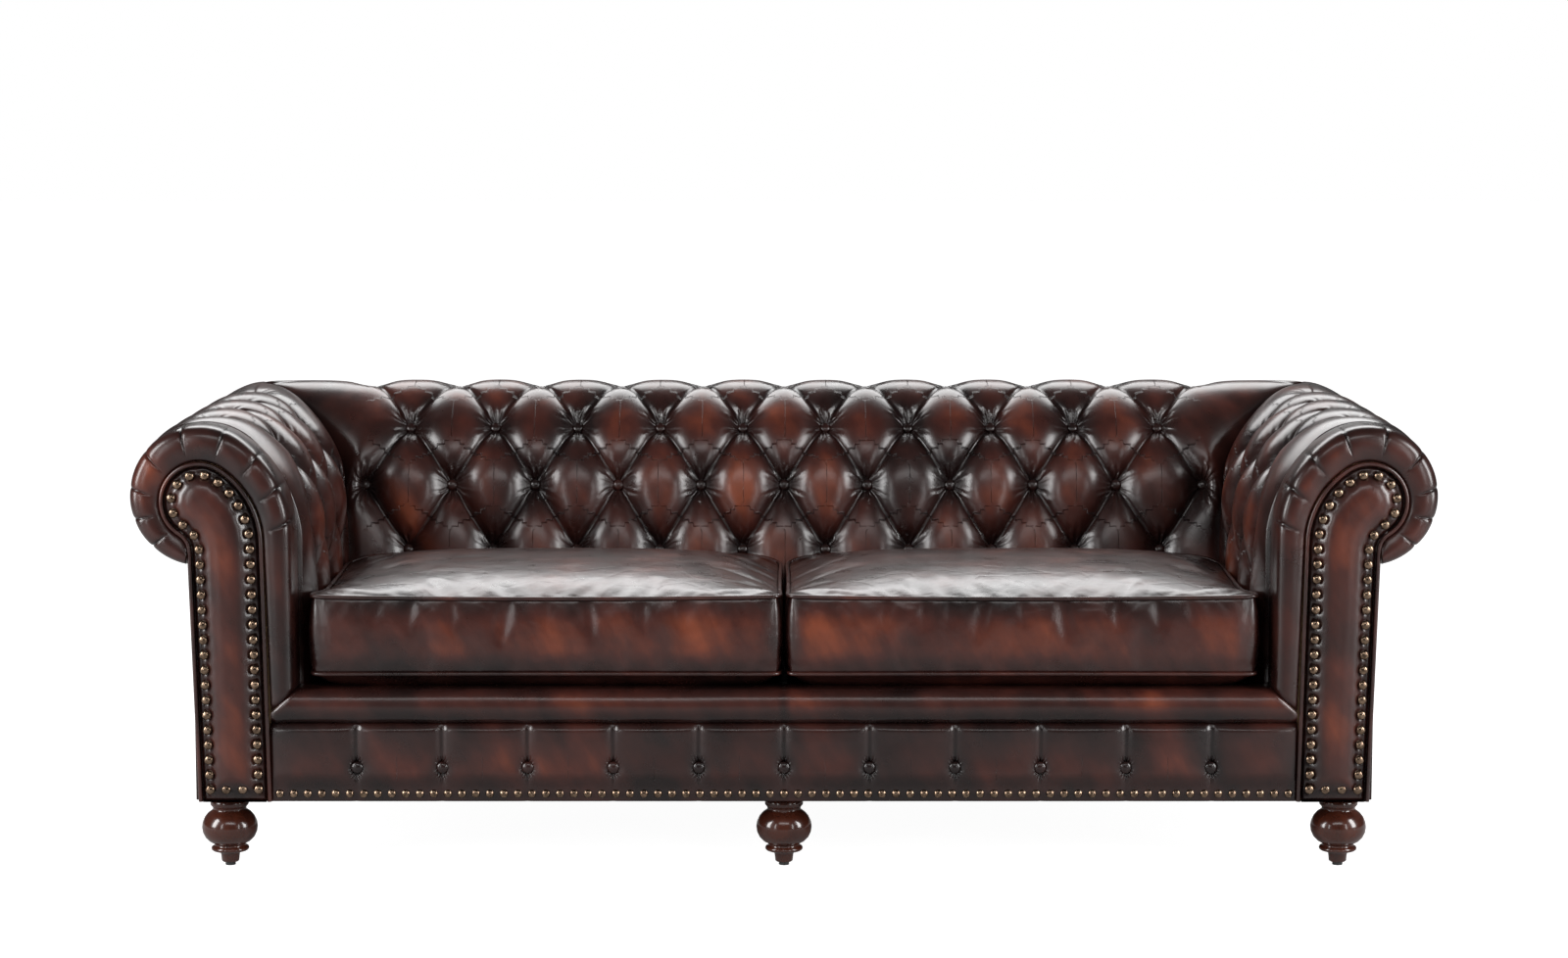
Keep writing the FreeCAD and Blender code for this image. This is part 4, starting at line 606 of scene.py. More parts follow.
def copies_at(name, pattern, places, material, slot, body="sofa"):
    """Copies of one small piece, each standing on its place and facing along its normal, kept as one row."""
    row = bmesh.new()
    for place, normal in places:
        start = len(row.verts)
        row.from_mesh(pattern.data)
        row.verts.ensure_lookup_table()
        turn = Vector(normal).to_track_quat("Z", "X").to_matrix().to_4x4()
        bmesh.ops.transform(row, matrix=Matrix.Translation(place) @ turn, verts=row.verts[start:])
    mesh = bpy.data.meshes.new(name)
    row.to_mesh(mesh)
    row.free()
    mesh.shade_smooth()
    mesh.materials.append(material)
    piece = bpy.data.objects.new(name, mesh)
    scene.collection.objects.link(piece)
    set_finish(piece, slot)
    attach(piece, body)
    return piece


def button_places(pad, skip=()):
    """Where a pad's buttons sit and which way they face, apart from those that it shares with the back."""
    places = []
    for c, r in pad.buttons():
        if (c, r) not in skip:
            low, high = pad.spot(c, r, -BUTTON_SUNK), pad.spot(c, r, BUTTON_OUTWARD)
            places.append((low, (high - low).normalized()))
    return places


places = button_places(back_pad)
back_buttons = copies_at("back_tuft_buttons", dome, places, button_leather, "button_leather")
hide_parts("back_buttons")
places = button_places(arm_pad, ((6, 2),))
right_buttons = copies_at("right_tuft_buttons", dome, places, button_leather, "button_leather")
left_buttons = left_copy(right_buttons, "left_tuft_buttons")
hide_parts("right_arm_buttons")
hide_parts("left_arm_buttons")


# Arm fronts: a padded leather border, pleated round the scroll and plain down the inner edge of the arm.
# It is drawn from the welt of the facing out over the rim and back to the tufted arm. Under its scroll the
# facing is narrow, and the outer edge comes in to it through a hollow curve.
FACING_ROLL, FACING_HEIGHT = 0.061, 0.645
HOLLOW, NECK = 0.040, 0.014
WELT_ROOM = 0.0072
INNER_FOOT, OUTER_FOOT = (0.1152, 0.281), (0.157, 0.3195)
BORDER_DEPTH = 0.028
PLEATS = (7, 25, 43, 68.5, 105, 141, 173, 199, 226)
FOLD_DEPTH, FOLD_WIDTH, BAY_SWELL = 0.0040, 0.95, 0.0016
STANDING_OFF = 0.0022
facing_section = Rolled(0.0995, 0, 0.150, roll=FACING_ROLL, height=FACING_HEIGHT)
strip_section = Rolled(0.157, 0, 0.205)
hollow_x = -(NECK + HOLLOW)
hollow_drop = math.sqrt((FACING_ROLL + HOLLOW) ** 2 - hollow_x ** 2)
HOLLOW_LEAN = math.degrees(math.atan2(hollow_drop, -hollow_x))


def smooth_line(points, count):
    """Evenly spaced values along a soft line through control values."""
    points = np.array(points, float)
    grown = np.vstack([2 * points[0] - points[1], points, 2 * points[-1] - points[-2]])
    out = []
    for k in range(count):
        place = k * (len(points) - 1) / (count - 1)
        i = min(int(place), len(points) - 2)
        t = place - i
        p0, p1, p2, p3 = grown[i:i + 4]
        out.append(0.5 * (2 * p1 + (p2 - p0) * t + (2 * p0 - 5 * p1 + 4 * p2 - p3) * t ** 2
                          + (3 * p1 - p0 - 3 * p2 + p3) * t ** 3))
    return np.array(out)


def toward(start, end, share):
    return tuple(start[k] + (end[k] - start[k]) * share for k in range(len(start)))


def border_lines(station):
    """Inner edge and rim of the border in the front's plane, as distance from the roll's centre and height.
    Stations go down from 0 to -1 along the face of the arm, and up in degrees round the roll."""
    if station < 0:
        edge, rim = facing_section.by_angle(0, WELT_ROOM), strip_section.by_angle(0)
        return toward(edge, INNER_FOOT, -station), toward(rim, OUTER_FOOT, -station)
    lean = min(station, 180 + HOLLOW_LEAN)
    edge = facing_section.by_angle(lean, WELT_ROOM)
    if station > 180 + HOLLOW_LEAN:
        turn = math.radians(HOLLOW_LEAN * (TACKED - station) / (TACKED - 180 - HOLLOW_LEAN))
        inner = HOLLOW - WELT_ROOM
        edge = (hollow_x + inner * math.cos(turn), FACING_HEIGHT - hollow_drop + inner * math.sin(turn))
    return edge, strip_section.by_angle(station)


def arm_border(name, material):
    """Across it, the profile goes from the welt (0) over the swell to the rim (1) and back round the arm."""
    profile = smooth_line([(0.0, 0.0205), (0.06, 0.0110), (0.28, 0.0058), (0.55, 0.0050), (0.80, 0.0090),
                           (0.95, 0.0200), (1.0, 0.0400), (1.0, 0.0640), (1.0, 0.0897)], 40)
    stations = [-1 + k / 24 for k in range(24)] + [k * 0.7 for k in range(int((TACKED - 4) / 0.7) + 1)]
    spots, rubs_and_shade = [], []
    across = len(profile) + 3
    for station in stations:
        edge, rim = border_lines(station)
        deep = (rim[0] - BORDER_DEPTH, rim[1])
        if station >= 0:
            deep = strip_section.by_angle(station, -BORDER_DEPTH)
        groove, puff = 0.0, 0.0
        for pleat in PLEATS:
            groove = max(groove, math.exp(-abs(station - pleat) / FOLD_WIDTH))
        if station > PLEATS[0]:
            for low, high in zip(PLEATS, PLEATS[1:] + (TACKED,)):
                if low <= station <= high:
                    puff = hump((station - low) / (high - low), 2.4)
        for k, (share, depth) in enumerate(profile):
            fade = eased((39 - k) / 8) * eased((k - 7) / 9)
            drawn = FOLD_DEPTH * groove * fade - BAY_SWELL * puff * fade
            x, z = toward(edge, rim, share)
            y = FRONT_Y + depth + STANDING_OFF + drawn
            out = 1.0
            if share > 0.7 and station > 0:
                out = 1 - 0.35 * drawn / max(0.02, math.hypot(x, z - ROLL_HEIGHT))
            if station > 0:
                z = ROLL_HEIGHT + (z - ROLL_HEIGHT) * out
            spots.append(Vector((ROLL_X - x * out, y, z)))
            # Worn lighter over the middle of the swell, with painted shade darkening each pleat's groove.
            high = 1 - abs(share - 0.55) / 0.5 if k < 30 else 0.35
            rubs_and_shade.append(max(0.0, min(1.0, 0.20 + 0.34 * high * (0.5 + 0.5 * puff) - 0.3 * groove * fade)))
        for x, z, y in ((deep[0], deep[1], PAD_FRONT - 0.0003), (deep[0], deep[1], POST_FRONT - 0.0003),
                        (edge[0], edge[1], POST_FRONT - 0.0003)):
            spots.append(Vector((ROLL_X - x, y, z)))
            rubs_and_shade.append(0.0)
    faces = grid_faces(len(stations), across, closed_across=True)
    faces.append(tuple(range(across)))
    faces.append(tuple(range((len(stations) - 1) * across, len(stations) * across)))
    return piece_from(name, spots, faces, material, "border_leather", rub_and_shade=rubs_and_shade)


border_leather = leather("border_leather")
right_border = arm_border("right_pleated_border", border_leather)
left_border = left_copy(right_border, "left_pleated_border")
for border, side in ((right_border, "right"), (left_border, "left")):
    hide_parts(side + "_arm_front_border")


# Facings: scroll-shaped boards padded thinly and covered in leather, fixed on over the borders' raw edges.
# A leather welt is tacked round each, and a line of domed antique nails follows its edge.
FACING_FOOT, FACING_INNER, FACING_OUTER = 0.1245, 0.108, -0.002
NAIL_INSET, NAIL_PITCH, LOWEST_NAIL = 0.0135, 0.0262, 0.137
EDGE_ROUNDING, NAIL_CHANNEL, CROWN_SWELL, NAIL_DIMPLE = 0.010, 0.0050, 0.0120, 0.0034
FACING_SET_BACK = 0.0080
NAIL_RADIUS, NAIL_FLATNESS, FACING_NAIL_SCALE = 0.0075, 0.62, 1.14
WELT_RADIUS, WELT_OUTSIDE, WELT_SET_BACK, NAIL_SET_BACK = 0.0040, 0.0042, 0.0125, 0.0068


def outline(grow, fine=1.0):
    """Spots round the facing from its inner foot, round the scroll and down to its outer foot."""
    join = math.degrees(facing_section.join)
    straight = int(40 * fine)
    spots = [(FACING_INNER + grow, FACING_FOOT)]
    top, high = facing_section.by_angle(0, grow)
    for k in range(1, straight):
        share = k / straight
        spots.append((FACING_INNER + grow + (top - FACING_INNER - grow) * share,
                      FACING_FOOT + (high - FACING_FOOT) * share))
    shoulder = np.linspace(0, join, int(12 * fine))
    scroll = np.linspace(join, 180 + HOLLOW_LEAN, int(44 * fine))
    spots += [facing_section.by_angle(a, grow) for a in np.concatenate([shoulder, scroll[1:]])]
    for lean in np.linspace(HOLLOW_LEAN, 0, int(10 * fine))[1:]:
        turn = math.radians(lean)
        inner = HOLLOW - grow
        height = FACING_HEIGHT - hollow_drop + inner * math.sin(turn)
        spots.append((hollow_x + inner * math.cos(turn), height))
    end = spots[-1]
    foot = (FACING_OUTER - grow, FACING_FOOT)
    spots += [toward(end, foot, k / straight) for k in range(1, straight + 1)]
    return spots


def spaced(line, pitch):
    """Places a pitch apart along a line."""
    line = np.array(line)
    steps = np.hypot(*np.diff(line, axis=0).T)
    total = np.concatenate([[0], np.cumsum(steps)])
    count = max(2, round(total[-1] / pitch) + 1)
    runs = np.linspace(0, total[-1], count)
    return [(np.interp(t, total, line[:, 0]), np.interp(t, total, line[:, 1])) for t in runs]


nails = spaced([s for s in outline(-NAIL_INSET) if s[1] > LOWEST_NAIL], NAIL_PITCH)
foot_in, foot_out = nails[0], nails[-1]
nails += [(foot_in[0] + (foot_out[0] - foot_in[0]) * share, foot_in[1]) for share in (0.33, 0.67)]

panel_leather = leather("facing_leather")
edge_line = np.array(outline(0.0, 0.7))
solid = bmesh.new()
front = [solid.verts.new((ROLL_X - a, FRONT_Y + 0.0015, z)) for a, z in edge_line]
rear = [solid.verts.new((ROLL_X - a, POST_FRONT, z)) for a, z in edge_line]
solid.faces.new(front)
solid.faces.new(rear[::-1])
for k in range(len(front)):
    n = (k + 1) % len(front)
    solid.faces.new((front[k], rear[k], rear[n], front[n]))
bmesh.ops.recalc_face_normals(solid, faces=solid.faces)
mesh = bpy.data.meshes.new("right_facing")
solid.to_mesh(mesh)
solid.free()
right_facing = bpy.data.objects.new("right_facing", mesh)
scene.collection.objects.link(right_facing)
select_only(right_facing)
remesh = right_facing.modifiers.new("even_skin", "REMESH")
remesh.mode = "VOXEL"
remesh.voxel_size = 0.0026
bpy.ops.object.modifier_apply(modifier="even_skin")
mesh = right_facing.data
seg_a, seg_b = edge_line, np.roll(edge_line, -1, axis=0)
seg_run = seg_b - seg_a
nail_spots = np.array(nails)
rubs_and_shade = []
for vert in mesh.vertices:
    p = np.array((ROLL_X - vert.co.x, vert.co.z))
    t = np.clip(((p - seg_a) * seg_run).sum(1) / (seg_run * seg_run).sum(1), 0, 1)
    inside = np.hypot(*(seg_a + seg_run * t[:, None] - p).T).min()
    near_nail = np.hypot(*(nail_spots - p).T).min()
    if vert.co.y < FRONT_Y + 0.006:
        rounding = EDGE_ROUNDING * max(0.0, 1 - inside / EDGE_ROUNDING) ** 2
        channel = NAIL_CHANNEL * math.exp(-((inside - NAIL_INSET) / 0.010) ** 2)
        swell = CROWN_SWELL * math.sin(math.pi / 2 * max(0.0, min(1.0, (inside - 0.010) / 0.042)))
        dimple = NAIL_DIMPLE * math.exp(-(near_nail / 0.0100) ** 2)
        vert.co.y = FRONT_Y + (rounding + channel + dimple - swell + FACING_SET_BACK)
    # Worn lighter over the crown, with painted shade darkening the edge, the nail channel and the dimple
    # round each nail.
    high = eased((inside - 0.014) / 0.03)
    rubs_and_shade.append(max(0.0, min(1.0, 0.19 + 0.30 * high - 0.1 * math.exp(-near_nail / 0.01))))
mark(mesh, "rub_and_shade", rubs_and_shade)
mesh.shade_smooth()
mesh.materials.append(panel_leather)
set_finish(right_facing, "panel_leather")
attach(right_facing, "sofa")
left_facing = left_copy(right_facing, "left_facing")
for facing, side in ((right_facing, "right"), (left_facing, "left")):
    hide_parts(side + "_arm_facing")


def welt(name, line, radius, material, slot, body, closed=False):
    """A round leather-covered cord sewn or tacked along a line, finished as one tube."""
    curve = bpy.data.curves.new(name + "_line", "CURVE")
    curve.dimensions = "3D"
    run = curve.splines.new("POLY")
    run.points.add(len(line) - 1)
    for point, place in zip(run.points, line):
        point.co = (*place, 1)
    run.use_cyclic_u = closed
    curve.bevel_depth = radius
    curve.bevel_resolution = 2
    curve.use_fill_caps = not closed
    cord = bpy.data.objects.new(name, curve)
    scene.collection.objects.link(cord)
    select_only(cord)
    bpy.ops.object.convert(target="MESH")
    cord = bpy.context.object
    cord.data.materials.clear()
    cord.data.materials.append(material)
    cord.data.shade_smooth()
    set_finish(cord, slot)
    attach(cord, body)
    return cord


# Welts and cords: leather cut on the bias and sewn round a cord. One is tacked round each facing, and the
# cushions' seams have the same.
piping_leather = leather("piping_leather", rub_and_shade=0.34)
welt_line = [(ROLL_X - a, FRONT_Y + WELT_SET_BACK, z) for a, z in outline(WELT_OUTSIDE)]
right_welt = welt("right_facing_welt", welt_line, WELT_RADIUS, piping_leather, "piping_leather", "sofa")
left_welt = left_copy(right_welt, "left_facing_welt")
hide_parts("right_facing_piping")
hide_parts("left_facing_piping")

# Nails: domed heads of tarnished bronze on steel shanks, driven into the board along the facing's edge and
# foot. One head is copied to every place. The front border has the same heads, a little smaller.
nail_bronze, tree, metal = new_material("antique_bronze")
tarnish = cloud(tree, add_node(tree, "TexCoord").outputs["Object"], 160.0, 3.0)
bronze = add_node(tree, "ValToRGB", {"Fac": tarnish})
bronze.color_ramp.elements[0].position, bronze.color_ramp.elements[0].color = 0.30, (0.110, 0.072, 0.050, 1)
bronze.color_ramp.elements[1].position, bronze.color_ramp.elements[1].color = 0.70, (0.40, 0.280, 0.195, 1)
tree.links.new(bronze.outputs[0], metal.inputs["Base Color"])
tree.links.new(maths(tree, "MULTIPLY_ADD", tarnish, 0.20, 0.14), metal.inputs["Roughness"])
metal.inputs["Metallic"].default_value = 1.0
nail_head = flattened_ball(12, 6, NAIL_RADIUS, NAIL_FLATNESS)
nail_places = [((ROLL_X - a, FRONT_Y + NAIL_SET_BACK, z), (0, -1, 0)) for a, z in nails]
nail_head.data.transform(Matrix.Scale(FACING_NAIL_SCALE, 4))
right_nails = copies_at("right_facing_nails", nail_head, nail_places, nail_bronze, "zip_brass")
nail_head.data.transform(Matrix.Scale(1 / FACING_NAIL_SCALE, 4))
left_copy(right_nails, "left_facing_nails")


# Front lip and buttoned border: a padded roll under the cushions, mitred into the arm borders, and under it
# one strip of leather with a pleat at each button. A row of slightly smaller nails holds it along the bottom.
BORDER_X, LIP_TOP = 0.883, 0.319
LIP_MITRE_X, LIP_MITRE_DROP = 0.842, 0.040
LIP_BETWEEN_ARMS, LIP_BETWEEN_POSTS = 0.8415, 0.8718
BORDER_LOW, BORDER_HIGH, BUTTON_ROW, NAIL_ROW = 0.1242, 0.2598, 0.183, 0.1375
BAYS, FRONT_NAILS, NAIL_FROM_END = 12, 73, 0.013
BOARD_COVER, BORDER_SWELL, BORDER_PLEAT, BORDER_DIP = 0.0135, 0.0075, 0.0055, 0.0045
BORDER_SPREAD = 1.0022
lip_leather = leather("lip_leather")
lip_profile = smooth_line([(-0.4500, 0.2605), (-0.4600, 0.2612), (-0.4700, 0.2720), (-0.4735, 0.2900),
                           (-0.4690, 0.3080), (-0.4560, 0.3175), (-0.4400, 0.3190), (-0.4150, 0.3190),
                           (-0.3915, 0.3178), (-0.3852, 0.3100), (-0.3852, 0.2900), (-0.3852, 0.2685),
                           (-0.4180, 0.2685), (-0.4490, 0.2685)], 64)
ends = 140
spots, rubs_and_shade = [], []
for k in range(ends + 1):
    share = 2 * k / ends - 1
    for y, z in lip_profile:
        reach = LIP_BETWEEN_POSTS
        if y < POST_FRONT + 0.001:
            mitred = LIP_MITRE_X + (LIP_TOP - z) * (BORDER_X - LIP_MITRE_X) / LIP_MITRE_DROP
            reach = min(BORDER_X - 0.0005, mitred)
        elif z > 0.30:
            reach = LIP_BETWEEN_ARMS
        x = share * reach
        seam = math.exp(-abs(x) / 0.0035)
        slack = 0.0012 * noise.noise(Vector((x * 5, y * 20, z * 20)))
        set_back = y + (0.003 * seam if y < -0.452 else 0) + slack * (y < -0.455)
        spots.append(Vector((x, set_back, z - 0.002 * seam * (z > 0.31))))
        # Worn lighter along the front of the roll and less light on its top and back, with painted shade
        # darkening the seam's groove.
        high = math.exp(-((z - 0.298) / 0.017) ** 2) if y < -0.45 else 0.15
        rubs_and_shade.append(max(0.0, 0.12 + 0.42 * high - 0.3 * seam))
faces = grid_faces(ends + 1, len(lip_profile), closed_across=True)
across = len(lip_profile)
faces += [tuple(range(across)), tuple(range(ends * across, (ends + 1) * across))]
lip = piece_from("padded_front_lip", spots, faces, lip_leather, "lip_leather", rub_and_shade=rubs_and_shade)
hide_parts("front_lip")

bay_width = 2 * BORDER_X / BAYS
ups, alongs = 34, 26 * BAYS
spots, rubs_and_shade, tufts = [], [], []
for r in range(ups + 1):
    z = BORDER_LOW + (BORDER_HIGH - BORDER_LOW) * r / ups
    for c in range(alongs + 1):
        x = -BORDER_X + 2 * BORDER_X * c / alongs
        bay = (x + BORDER_X) / bay_width
        side = to_whole(bay) * bay_width
        buttoned = 0.5 < bay < BAYS - 0.5
        puff = hump(bay % 1, 2.6)
        free = eased((z - 0.146) / 0.03)
        tuck = eased((BORDER_HIGH - z) / 0.010)
        sag = 0.0016 * noise.noise(Vector((x * 9, 3.1, z * 22)))
        height = z - BUTTON_ROW
        groove = math.exp(-side / 0.0035) * (BORDER_PLEAT if buttoned else 0)
        dip = (BORDER_DIP if buttoned else 0) * math.exp(-(math.hypot(side, height) / 0.013) ** 2)
        out = BOARD_COVER + (BORDER_SWELL * puff ** 0.7 + sag) * free
        out = out * (0.55 + 0.45 * tuck) - (groove * (0.35 + 0.65 * free) + dip) * tuck
        spots.append(Vector((x * BORDER_SPREAD, POST_FRONT - max(out, 0.002), z)))
        # Worn lighter on each bay's puff at button height, with a painted shadow under the lip, painted shade
        # round each button, and less light down by the nails.
        proud = puff * free * tuck * math.exp(-(height / 0.04) ** 2)
        rubs_and_shade.append(max(0.0, min(1.0, 0.16 + 0.34 * proud - 0.3 * dip / BORDER_DIP)))
        sideways = side * (3 if bay % 1 < 0.5 else -3)
        tufts.append((sideways, height * 2.2, 0.0) if buttoned else FAR_FROM_TUFTS)
across = alongs + 1
faces = grid_faces(ups + 1, across)
start = len(spots)
for r in range(ups + 1):
    z = BORDER_LOW + (BORDER_HIGH - BORDER_LOW) * r / ups
    for x in (-BORDER_X, BORDER_X):
        spots.append(Vector((x * BORDER_SPREAD, POST_FRONT, z)))
        rubs_and_shade.append(0.0)
        tufts.append(FAR_FROM_TUFTS)
faces += backing_faces(ups + 1, across, start)
front_strip_leather = leather("front_border_leather", tufted=True)
strip = piece_from("buttoned_front_border", spots, faces, front_strip_leather, "border_leather",
                   rub_and_shade=rubs_and_shade, tuft=tufts)
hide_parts("front_border")

places = [((-BORDER_X + n * bay_width, POST_FRONT - 0.0125, BUTTON_ROW), (0, -1, 0)) for n in range(1, BAYS)]
front_buttons = copies_at("front_tuft_buttons", dome, places, button_leather, "button_leather")
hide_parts("front_buttons")
first = -BORDER_X + NAIL_FROM_END
pitch = (2 * BORDER_X - 2 * NAIL_FROM_END) / (FRONT_NAILS - 1)
places = [((first + n * pitch, POST_FRONT - 0.0142, NAIL_ROW), (0, -1, 0)) for n in range(FRONT_NAILS)]
copies_at("front_nails", nail_head, places, nail_bronze, "zip_brass")
bpy.data.objects.remove(nail_head)
bpy.data.objects.remove(dome)


# Outside covers: flat leather panels over board, at the back and outside each arm, blind tacked under the
# roll and fixed under the frame. They stay as plain as the solids give them.
outside_leather = leather("outside_leather", rub_and_shade=0.22, creasing=0.15)
for name in ("outside_back", "left_outside_arm", "right_outside_arm"):
    frame["nodes"][name].data.materials.clear()
    frame["nodes"][name].data.materials.append(outside_leather)


# Turned edges: the outside cover of each arm goes round the front post and is tacked there under the facing,
# so a narrow strip of it shows beside the welt.
EDGE_SIZE = (0.0140, 0.0018, 0.4080)
EDGE_MIDDLE = (1.0087, -0.4511, 0.3285)
bpy.ops.object.select_all(action="DESELECT")
bpy.ops.mesh.primitive_cube_add(size=1, location=(0, 0, 0))
right_edge = bpy.context.object
right_edge.name = "right_turned_edge"
bpy.ops.object.mode_set(mode="EDIT")
bpy.ops.mesh.select_all(action="SELECT")
bpy.ops.transform.resize(value=EDGE_SIZE)
bpy.ops.transform.translate(value=EDGE_MIDDLE)
bpy.ops.object.mode_set(mode="OBJECT")
right_edge.data.materials.append(outside_leather)
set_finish(right_edge, "panel_leather")
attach(right_edge, "sofa")
left_copy(right_edge, "left_turned_edge")


# Seat cushions: two loose foam cushions in leather covers with a boxing strip and piped seams, soft on top.
# The cover is cut to its crown and a little full, and a short cloth run under pressure, of which only a few
# millimetres are kept, adds to its swell and its creases.
cushion_leather = leather("cushion_leather", creasing=0.6)
CUSHION_LOW, CUSHION_HIGH = 0.345, 0.474
PIPE_ROOM, PIPE_RADIUS = 0.0048, 0.0036
INNER_SIDE, OUTER_SIDE = 0.002 + PIPE_ROOM, 0.820 - PIPE_ROOM
FRONT_SIDE, BACK_SIDE = -0.455 + PIPE_ROOM, 0.116 - PIPE_ROOM
HALF_WIDTH, HALF_DEPTH = (OUTER_SIDE - INNER_SIDE) / 2, (BACK_SIDE - FRONT_SIDE) / 2
TOP_CROWN, UNDER_CROWN, BOXING_SWELL = 0.033, 0.0335, 0.0045
CORNER_PULL, SIDE_BOW, FRONT_BOW = 0.007, 0.003, 0.005
CLOTH_FRAMES, CLOTH_MOVE = 16, 0.004


def cut_cover(name, side):
    """A cover cut in a top, a bottom and a boxing strip, with its seam points' numbers and both seams."""
    nx, ny, nz = ((96, 68, 16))
    bm = bmesh.new()
    verts = {}

    def spot(i, j, level):
        """Level 2 is the top panel, -2 the bottom, and -1 to 1 go up the boxing."""
        u, v = 2 * i / nx - 1, 2 * j / ny - 1
        edge_x, edge_y = (1 - abs(u)) * HALF_WIDTH, (1 - abs(v)) * HALF_DEPTH
        x, y = INNER_SIDE + HALF_WIDTH * (u + 1), FRONT_SIDE + HALF_DEPTH * (v + 1)
        pull = CORNER_PULL * math.exp(-(edge_x + edge_y) / 0.016)
        swell = BOXING_SWELL * (1 - level * level) if abs(level) < 1 else 0.0
        x -= u ** 3 * (SIDE_BOW * (1 - v * v) + pull - (swell if abs(u) == 1 else 0))
        y -= v ** 3 * (FRONT_BOW * (1 - u * u) + pull - (swell if abs(v) == 1 else 0))
        back_share = (v + 1) / 2
        top = CUSHION_HIGH + 0.004 * (u * v) ** 2 - 0.018 * u ** 8 * eased(back_share * 2.2)
        if level == 2:
            rise = (1 - (1 - edge_x / HALF_WIDTH) ** 3.4) * (1 - (1 - edge_y / HALF_DEPTH) ** 2.7)
            z = top + TOP_CROWN * rise
        elif level == -2:
            fall = (1 - math.exp(-edge_x / 0.020)) * (1 - math.exp(-edge_y / 0.020))
            z = CUSHION_LOW - UNDER_CROWN * fall
        else:
            z = (CUSHION_LOW + top) / 2 + level * (top - CUSHION_LOW) / 2
        return Vector((side * x, y, z))

    def vert(i, j, level):
        on_edge = i in (0, nx) or j in (0, ny)
        if on_edge and abs(level) == 2:
            level = 1 if level > 0 else -1
        key = (i, j, level)
        if key not in verts:
            verts[key] = bm.verts.new(spot(i, j, level))
        return verts[key]

    for level in (2, -2):
        for i in range(nx):
            for j in range(ny):
                corners = ((i, j), (i + 1, j), (i + 1, j + 1), (i, j + 1))
                bm.faces.new([vert(*corner, level) for corner in corners])
    path = [(i, 0) for i in range(nx)] + [(nx, j) for j in range(ny)]
    path += [(i, ny) for i in range(nx, 0, -1)] + [(0, j) for j in range(ny, 0, -1)]
    for k in range(nz):
        low, high = -1 + 2 * k / nz, -1 + 2 * (k + 1) / nz
        for a, b in zip(path, path[1:] + path[:1]):
            bm.faces.new([vert(*a, low), vert(*b, low), vert(*b, high), vert(*a, high)])
    keys = list(verts)
    seams = [n for n, key in enumerate(keys) if abs(key[2]) == 1]
    top_seam = [verts[(i, j, 1)].co.copy() for i, j in path]
    low_seam = [verts[(i, j, -1)].co.copy() for i, j in path]
    bmesh.ops.recalc_face_normals(bm, faces=bm.faces)
    mesh = bpy.data.meshes.new(name)
    bm.verts.index_update()
    bm.to_mesh(mesh)
    bm.free()
    return mesh, seams, top_seam, low_seam


def swell(cover, seams):
    """Run the cover as cloth under pressure, its seams held, and keep a small part of its movement."""
    was = [v.co.copy() for v in cover.data.vertices]
    cover.vertex_groups.new(name="seams").add(seams, 1.0, "REPLACE")
    select_only(cover)
    cloth = cover.modifiers.new("hide", "CLOTH")
    cloth.settings.quality = 6
    cloth.settings.mass = 0.4
    cloth.settings.tension_stiffness = cloth.settings.compression_stiffness = 12
    cloth.settings.bending_stiffness = 6.0
    cloth.settings.vertex_group_mass = "seams"
    cloth.settings.shrink_min = -0.012
    cloth.settings.use_pressure = True
    cloth.settings.uniform_pressure_force = 3.0
    cloth.settings.effector_weights.gravity = 0.0
    cloth.point_cache.frame_start, cloth.point_cache.frame_end = 1, CLOTH_FRAMES
    for step in range(1, CLOTH_FRAMES + 1):
        scene.frame_set(step)
    bpy.ops.object.modifier_apply(modifier="hide")
    scene.frame_set(1)
    for point, start in zip(cover.data.vertices, was):
        move = point.co - start
        cap = CLOTH_MOVE if start.z > 0.35 else 0.0
        if move.length > cap:
            move *= cap / move.length
        point.co = start + move
    cover.data.shade_smooth()
    soft = cover.modifiers.new("fine", "SUBSURF")
    soft.levels = soft.render_levels = 1
    bpy.ops.object.modifier_apply(modifier="fine")


